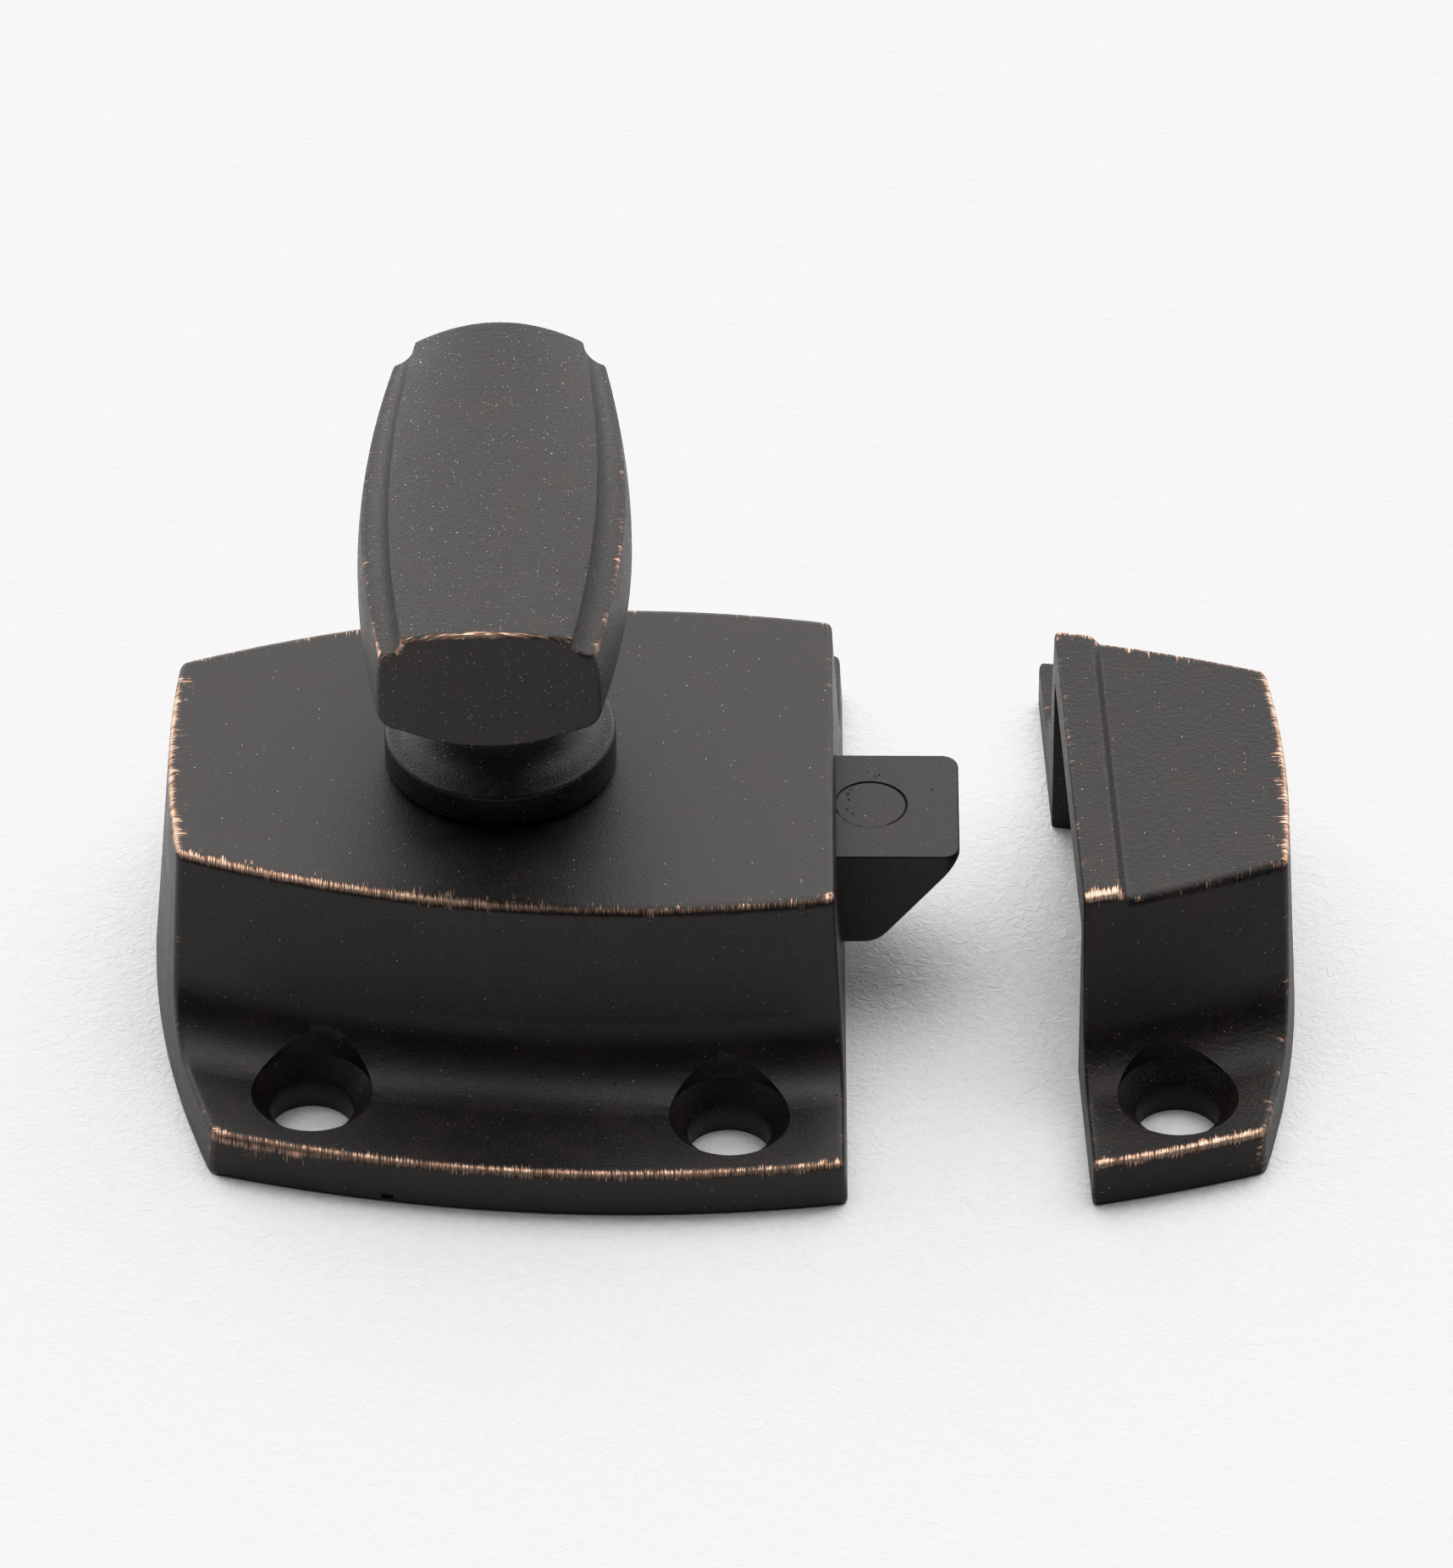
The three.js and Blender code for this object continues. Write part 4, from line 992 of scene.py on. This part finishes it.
# the block's back end, clear of the cam's hub when the bolt is drawn in
block_left = 12.4398
bolt_plan_corner, bevel_length, bevel_land, bevel_foot_round, bolt_edge_round = 1.0, 4.85, 0.45, 1.8, 0.16
shoulder_right = hollow_right - sliding_clearance
tail_top = bolt_tail + 2.2
lug_left, lug_right, lug_near, lug_far, lug_top = bolt_low[0], bolt_low[0] + 3.0, 4.5, 8.0, 6.95
tab_left, tab_right = block_left - 4.4, block_left - 2.8
tab_near, tab_far = spring_line + 1.6, spring_line - 2.1
pin_height, pin_way_radius, tab_above_pin = 5.7, 1.15, 2.1
mark_centre, mark_radius, mark_width, mark_depth = (22.07, 0.1), 2.15, 0.2, 0.13
# pits in the top, as (x, y, radius)
bolt_pits = [(22.35, 2.75, 0.16), (22.6, 2.95, 0.11), (21.95, 3.2, 0.08), (25.75, 1.55, 0.1),
             (22.9, 0.35, 0.07), (20.65, 1.1, 0.2), (20.75, 0.55, 0.16), (20.6, -0.4, 0.17),
             (20.9, 1.5, 0.1), (21.0, -0.75, 0.09)]


def laid_along_x(mesh, y, z):
    """Lays an upright mesh along X on a line at y and z. What was its height is then its place along X."""
    mesh.transform(Matrix.Translation((0, y * MM, z * MM)) @ Matrix.Rotation(math.pi / 2, 4, "Y"))
    return mesh


def ring_tool(radius, width, top, depth, centre, segments=72):
    """A ring with a V-shaped foot, for cutting a fine round groove into a level face. It cuts deepest on its
    far right and hardly at all on its near side."""
    verts, rings = [], []
    for i in range(segments):
        angle = 2 * math.pi * i / segments
        bite = 0.62 + 0.38 * math.cos(angle - 1.1) + 0.1 * math.sin(9 * angle) * math.cos(4 * angle + 1)
        half = width * (0.55 + 0.45 * bite) / 2
        section = ((radius - half, top + 0.2), (radius - half, top), (radius, top - depth * bite),
                   (radius + half, top), (radius + half, top + 0.2))
        rings.append([len(verts) + k for k in range(len(section))])
        verts += [(centre[0] + r * math.cos(angle), centre[1] + r * math.sin(angle), z) for r, z in section]
    return mesh_of(verts, banded(rings, closed=True))


def softened(piece, radius, segments=3, angle=35):
    """Rounds a piece's sharp edges over by a small radius."""
    step = piece.modifiers.new("soften", "BEVEL")
    step.width, step.segments = radius * MM, segments
    step.limit_method, step.angle_limit = "ANGLE", math.radians(angle)
    step.use_clamp_overlap = True
    bpy.context.view_layer.update()
    piece.data = bpy.data.meshes.new_from_object(piece.evaluated_get(bpy.context.evaluated_depsgraph_get()))
    piece.modifiers.clear()
    return piece


def turned_upright(outline, low_y, high_y):
    """A prism with its outline seen from the front, as (x, z), that runs from low y to high y."""
    mesh = prism(outline, -high_y, -low_y)
    mesh.transform(Matrix.Rotation(math.pi / 2, 4, "X"))
    return mesh


def bent_arm(left, right, top, low_y, high_y):
    """A low arm that reaches back from the bolt's block and turns up at its end."""
    return turned_upright([(left, bolt_tail), (block_left + 1, bolt_tail), (block_left + 1, tail_top),
                           (right, tail_top), (right, top), (left, top)], low_y, high_y)


corner_x, corner_y = bolt_tip - bolt_plan_corner, bolt_half_width - bolt_plan_corner
plan = [(block_left, bolt_half_width), (block_left, -bolt_half_width),
        *arc_profile((corner_x, -corner_y), (corner_x, -bolt_half_width), (bolt_tip, -corner_y), 10),
        *arc_profile((corner_x, corner_y), (bolt_tip, corner_y), (corner_x, bolt_half_width), 10)]
rise = math.atan2(bolt_top - bevel_land - bolt_foot, bevel_length)
foot_run = bevel_foot_round * math.tan(rise / 2)
bevel_foot = [(bolt_tip - bevel_length - foot_run + bevel_foot_round * math.sin(rise * i / 8),
               bolt_foot + bevel_foot_round * (1 - math.cos(rise * i / 8))) for i in range(9)]
side_view = [(block_left - overrun, bolt_tail), (shoulder_right, bolt_tail), (shoulder_right, bolt_foot),
             *bevel_foot, (bolt_tip, bolt_top - bevel_land), (bolt_tip, bolt_top + overrun),
             (block_left - overrun, bolt_top + overrun)]
cross_bar = block((block_left + hairline, tab_far + hairline, bolt_tail + hairline),
                  (block_left + 1 - hairline, -0.5, tail_top - hairline))
pin_way = rod(pin_way_radius, tab_left - overrun, tab_right + overrun, segments=32)
bolt = piece_of("bolt_casting", prism(plan, bolt_tail, bolt_top))
carve(bolt, [turned_upright(side_view, -bolt_half_width - overrun, bolt_half_width + overrun)], "INTERSECT")
softened(bolt, bolt_edge_round)
lug_arm = bent_arm(lug_left, lug_right, lug_top, lug_near, lug_far)
tab_arm = bent_arm(tab_left, tab_right, pin_height + tab_above_pin, tab_far, tab_near)
carve(bolt, [lug_arm, tab_arm, cross_bar], "UNION")
carve(bolt, [
    laid_along_x(pin_way, spring_line, pin_height),
    ring_tool(mark_radius, mark_width, bolt_top, mark_depth, mark_centre),
    *[turned([(0, bolt_top - radius * 0.6), (radius, bolt_top + 0.01), (radius, bolt_top + 0.3),
              (0, bolt_top + 0.3)], (x, y), 7) for x, y, radius in bolt_pits],
])
bolt_points = points_of(bolt)
x, y, z = bolt_points.T
from_tip, from_side = np.clip(bolt_tip - x, 0, None), bolt_half_width - np.abs(y)
tip_edge = np.hypot(from_tip, bolt_top - z)
side_edge = np.hypot(from_side, bolt_top - z)
tip_corner = np.hypot(from_tip, np.clip(from_side, 0, None) - 0.3)
mark_rubbing(bolt, {
    "rub_x": rubbed(np.clip(side_edge - 0.05, 0, None), 0.05),
    "rub_y": rubbed(np.clip(tip_edge - 0.05, 0, None), 0.12),
    "rub_z": rubbed(np.clip(tip_corner - 0.1, 0, None), 0.05),
})
bolt_bronze = bronzed("bolt_bronze", reach=(0.4, 0.4, 0.4), grain_size=4.0, fine_dust=0.05, shine=0.38)
dress(smooth(bolt, 30), bolt_bronze, "bolt", "bolt")

# ---------------------------------------------------------------- bolt spring
# The spring is wound from half-millimetre spring steel wire with closed ends. It lies on a guide pin between
# a boss in the case and the bolt's tab, and pushes the bolt out.
wire_radius, coil_radius, coil_turns, closed_share, points_per_turn = 0.25, 1.85, 8, 0.08, 36
end_gap = 0.05
spring_start, spring_end = spring_seat + end_gap + wire_radius, tab_left - end_gap - wire_radius


def tube_along(points, radius, sides=10):
    """A round wire along a line of points, closed at both ends."""
    points = np.array(points, float)
    ways = np.gradient(points, axis=0)
    ways /= np.linalg.norm(ways, axis=1)[:, None]
    side = np.cross(ways, (1.0, 0.0, 0.0))
    side /= np.linalg.norm(side, axis=1)[:, None]
    rise = np.cross(side, ways)
    verts, rings = [], []
    for point, across_way, up_way in zip(points, side, rise):
        rings.append([len(verts) + k for k in range(sides)])
        verts += [point + radius * (math.cos(a) * across_way + math.sin(a) * up_way)
                  for a in (2 * math.pi * k / sides for k in range(sides))]
    return mesh_of(verts, banded(rings) + [tuple(rings[0]), tuple(rings[-1])])


coil = []
for i in range(coil_turns * points_per_turn + 1):
    t = i / (coil_turns * points_per_turn)
    share = np.clip((t - closed_share / 2) / (1 - closed_share), 0, 1)
    rise = (t + share * share * (3 - 2 * share)) / 2
    angle = 2 * math.pi * coil_turns * t
    coil.append((spring_start + (spring_end - spring_start) * rise,
                 spring_line + coil_radius * math.cos(angle), pin_height + coil_radius * math.sin(angle)))
bolt_spring = piece_of("bolt_spring_coil", tube_along(coil, wire_radius))


def plated(name, colour, shadow, roughness, metallic=1.0, scale=3.0):
    """A plain plated, machined or moulded finish: a fine uneven tone and tiny pits."""
    material, tree, shader, position = new_material(name)
    shader.inputs["Metallic"].default_value = metallic
    cast = place_effect(tree, cast_skin, {"Position": position, "Grain": scale, "Pits": 0.6})
    tone = blended(tree, ramp(tree, cast["Tone"], 0.35, 0.65), shadow, colour)
    tree.links.new(tone, shader.inputs["Base Color"])
    sheen = ramp(tree, cast["Tone"], 0.3, 0.7, roughness + 0.08, roughness - 0.06)
    tree.links.new(sheen, shader.inputs["Roughness"])
    raised = add(tree, "ShaderNodeBump", {"Height": cast["Height"], "Distance": 0.004 * MM, "Strength": 1.0})
    tree.links.new(raised.outputs["Normal"], shader.inputs["Normal"])
    return material


spring_steel = plated("spring_steel", (0.34, 0.34, 0.35), (0.22, 0.22, 0.235), 0.28, scale=4.0)
dress(smooth(bolt_spring, 60), spring_steel, "case", "bolt_spring", slot="spring_steel")
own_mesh(bolt_spring)

# ---------------------------------------------------------------- back plate and its screws
# A zinc-plated steel plate closes the case from underneath, let into a ledge. Four slotted countersunk
# screws hold it to bosses inside the case, with their heads level with the plate.
zinc = plated("zinc_plate", (0.55, 0.56, 0.575), (0.38, 0.385, 0.41), 0.34, scale=1.6)
plate_thickness, plate_edge_round = 1.15, 0.12
screw_head_radius, screw_shank_radius, screw_length, screw_point = 1.9, 0.95, 4.2, 0.3
half_slot, slot_reach, slot_turns = 0.25, 4, (20, -35, 65, 5)
plate = piece_of("back_plate_sheet", hollow_prism(plate_ledge - sliding_clearance, 0, plate_thickness))
softened(plate, plate_edge_round, 2)
head_way, shank_way = screw_head_radius + sliding_clearance, screw_shank_radius + sliding_clearance
carve(plate, [turned([(0, -overrun), (head_way, -overrun), (head_way, 0), (shank_way, head_way - shank_way),
                      (shank_way, 3), (0, 3)], spot, 40) for spot in boss_places])
dress(smooth(plate, 30), zinc, "case", "back_plate", slot="zinc_plated_steel")
head_depth = screw_head_radius - screw_shank_radius
screw_profile = [(0, 0.0), (screw_head_radius - 0.12, 0.0), (screw_head_radius, 0.1),
                 (screw_shank_radius, head_depth), (screw_shank_radius, screw_length - screw_point),
                 (screw_shank_radius - screw_point, screw_length), (0, screw_length)]
for i, ((x, y), slot_turn) in enumerate(zip(boss_places, slot_turns), 1):
    screw = piece_of(f"plate_screw_{i}", turned(screw_profile, (x, y), 40))
    slot_cut = block((-slot_reach, -half_slot, -overrun), (slot_reach, half_slot, head_depth / 2))
    slot_cut.transform(Matrix.Translation((x * MM, y * MM, 0))
                       @ Matrix.Rotation(math.radians(slot_turn), 4, "Z"))
    carve(screw, [slot_cut])
    dress(smooth(screw, 30), zinc, "case", f"back_plate_screw_{i}", slot="zinc_plated_steel")

# ---------------------------------------------------------------- works inside the case
# The spindle turns in a brass bush and carries the cam, clamped by a slotted screw and washer with a wave
# washer above it. A nylon washer lies under the knob, and a steel pin guides the spring. These keep the
# frame's own shapes and get their metals and plastic here.
brass = plated("bush_brass", (0.60, 0.42, 0.17), (0.42, 0.27, 0.10), 0.32)
nylon = plated("washer_nylon", (0.62, 0.59, 0.52), (0.52, 0.49, 0.43), 0.55, metallic=0.0, scale=2.0)
finishes = {"spindle": zinc, "retract_cam": zinc, "cam_washer": zinc, "cam_screw": zinc,
            "spring_guide_pin": zinc, "wave_washer": spring_steel, "spindle_bush": brass,
            "knob_washer": nylon}
for node, finish in finishes.items():
    works = frame["nodes"][node]
    works.data.materials.clear()
    works.data.materials.append(finish)

# ---------------------------------------------------------------- camera
# A long lens looks down on the latch from the front, a little askew. It stands far off, so that the latch's
# edges stay nearly parallel.
lens_length, sensor_width = 539.75245, 36
elevation, azimuth, roll = math.radians(38.743), math.radians(-0.487), math.radians(0.5215)
distance, look_at = 1319.15, Vector((13.593, 15.41, 0.0))
back = Vector((math.sin(azimuth) * math.cos(elevation), -math.cos(azimuth) * math.cos(elevation),
               math.sin(elevation)))
forward = -back
right = forward.cross(Vector((0, 0, 1))).normalized()
up = right.cross(forward)
turned_right = right * math.cos(roll) + up * math.sin(roll)
turned_up = up * math.cos(roll) - right * math.sin(roll)
camera = bpy.data.objects.new("camera", bpy.data.cameras.new("camera"))
bpy.context.scene.collection.objects.link(camera)
bpy.context.scene.camera = camera
camera.matrix_world = Matrix.Translation((look_at + back * distance) * MM) @ Matrix(
    (turned_right, turned_up, back)).transposed().to_4x4()
camera.data.sensor_fit = "HORIZONTAL"
camera.data.sensor_width = sensor_width
camera.data.lens = lens_length
camera.data.clip_start, camera.data.clip_end = 0.01, 10

# ---------------------------------------------------------------- studio
# The latch lies on a wide sheet of white paper. Two soft boxes stand high behind it, left and right of a
# white wall that closes the far side. The near side of the studio is almost dark.
paper_white, paper_shade = (0.86, 0.86, 0.857), (0.835, 0.836, 0.835)
half_sheet, sheet_thickness, under_latch = 2500, 5, -0.02
floor = piece_of("floor", block((-half_sheet, -half_sheet, under_latch - sheet_thickness),
                                (half_sheet, half_sheet, under_latch)))
paper, sheet, sheet_shader, sheet_place = new_material("white_paper")
sheet_tone = ramp(sheet, grain(sheet, sheet_place, 1.5, detail=4.0), 0.35, 0.6)
sheet.links.new(blended(sheet, sheet_tone, paper_shade, paper_white), sheet_shader.inputs["Base Color"])
sheet_shader.inputs["Roughness"].default_value = 0.9
sheet_shader.inputs["Specular IOR Level"].default_value = 0.1
tooth = grain(sheet, sheet_place, 1.3, detail=4.0, roughness=0.6, distortion=1.6)
paper_bump = add(sheet, "ShaderNodeBump", {"Height": tooth, "Distance": 0.12 * MM})
sheet.links.new(paper_bump.outputs["Normal"], sheet_shader.inputs["Normal"])
floor.data.materials.append(paper)

studio = bpy.data.worlds.new("studio")
bpy.context.scene.world = studio
studio.use_nodes = True
sky = studio.node_tree
outward = add(sky, "ShaderNodeTexCoord").outputs["Generated"]
brightness = 0.0
# soft lights all round, as (bearing, height angle, strength)
soft_lights = ((135, 60, 1.38), (45, 60, 1.9), (90, 66, 0.21), (180, 60, 0.2), (90, 22, 0.11), (90, 3, 2.4),
               (135, 5, 1.75), (45, 5, 1.25), (-90, 60, 0.07))
full_within, gone_beyond = math.cos(math.radians(8)), math.cos(math.radians(42))
for bearing, height_angle, strength in soft_lights:
    side_way, rise_way = math.radians(bearing), math.radians(height_angle)
    toward = (math.cos(side_way) * math.cos(rise_way), math.sin(side_way) * math.cos(rise_way),
              math.sin(rise_way))
    facing = vectors(sky, "DOT_PRODUCT", outward, toward, "Value")
    brightness = maths(sky, "ADD", ramp(sky, facing, gone_beyond, full_within, 0.0, strength), brightness)
lights = sky.nodes["Background"]
lights.inputs["Color"].default_value = (1.0, 1.0, 1.0, 1.0)
sky.links.new(brightness, lights.inputs["Strength"])
backdrop = add(sky, "ShaderNodeBackground", {"Color": (0.92, 0.92, 0.92, 1.0), "Strength": 1.0})
shown = add(sky, "ShaderNodeMixShader", {0: add(sky, "ShaderNodeLightPath").outputs["Is Camera Ray"]})
sky.links.new(lights.outputs[0], shown.inputs[1])
sky.links.new(backdrop.outputs[0], shown.inputs[2])
sky.links.new(shown.outputs[0], sky.nodes["World Output"].inputs["Surface"])
bpy.context.scene.view_settings.view_transform = "Standard"
bpy.context.scene.view_settings.use_curve_mapping = True
tones = bpy.context.scene.view_settings.curve_mapping
tones.extend = "HORIZONTAL"
# the tone curve: shadows are left as they are, middle tones raised and whites held a little under white
overall = tones.curves[3]
for level, tone in ((0.18, 0.18), (0.42, 0.60), (0.53, 0.74), (0.66, 0.86), (0.80, 0.925), (0.90, 0.939)):
    overall.points.new(level, tone)
overall.points[-1].location = (1.0, 0.94)
for point in overall.points:
    point.handle_type = "VECTOR"
tones.update()
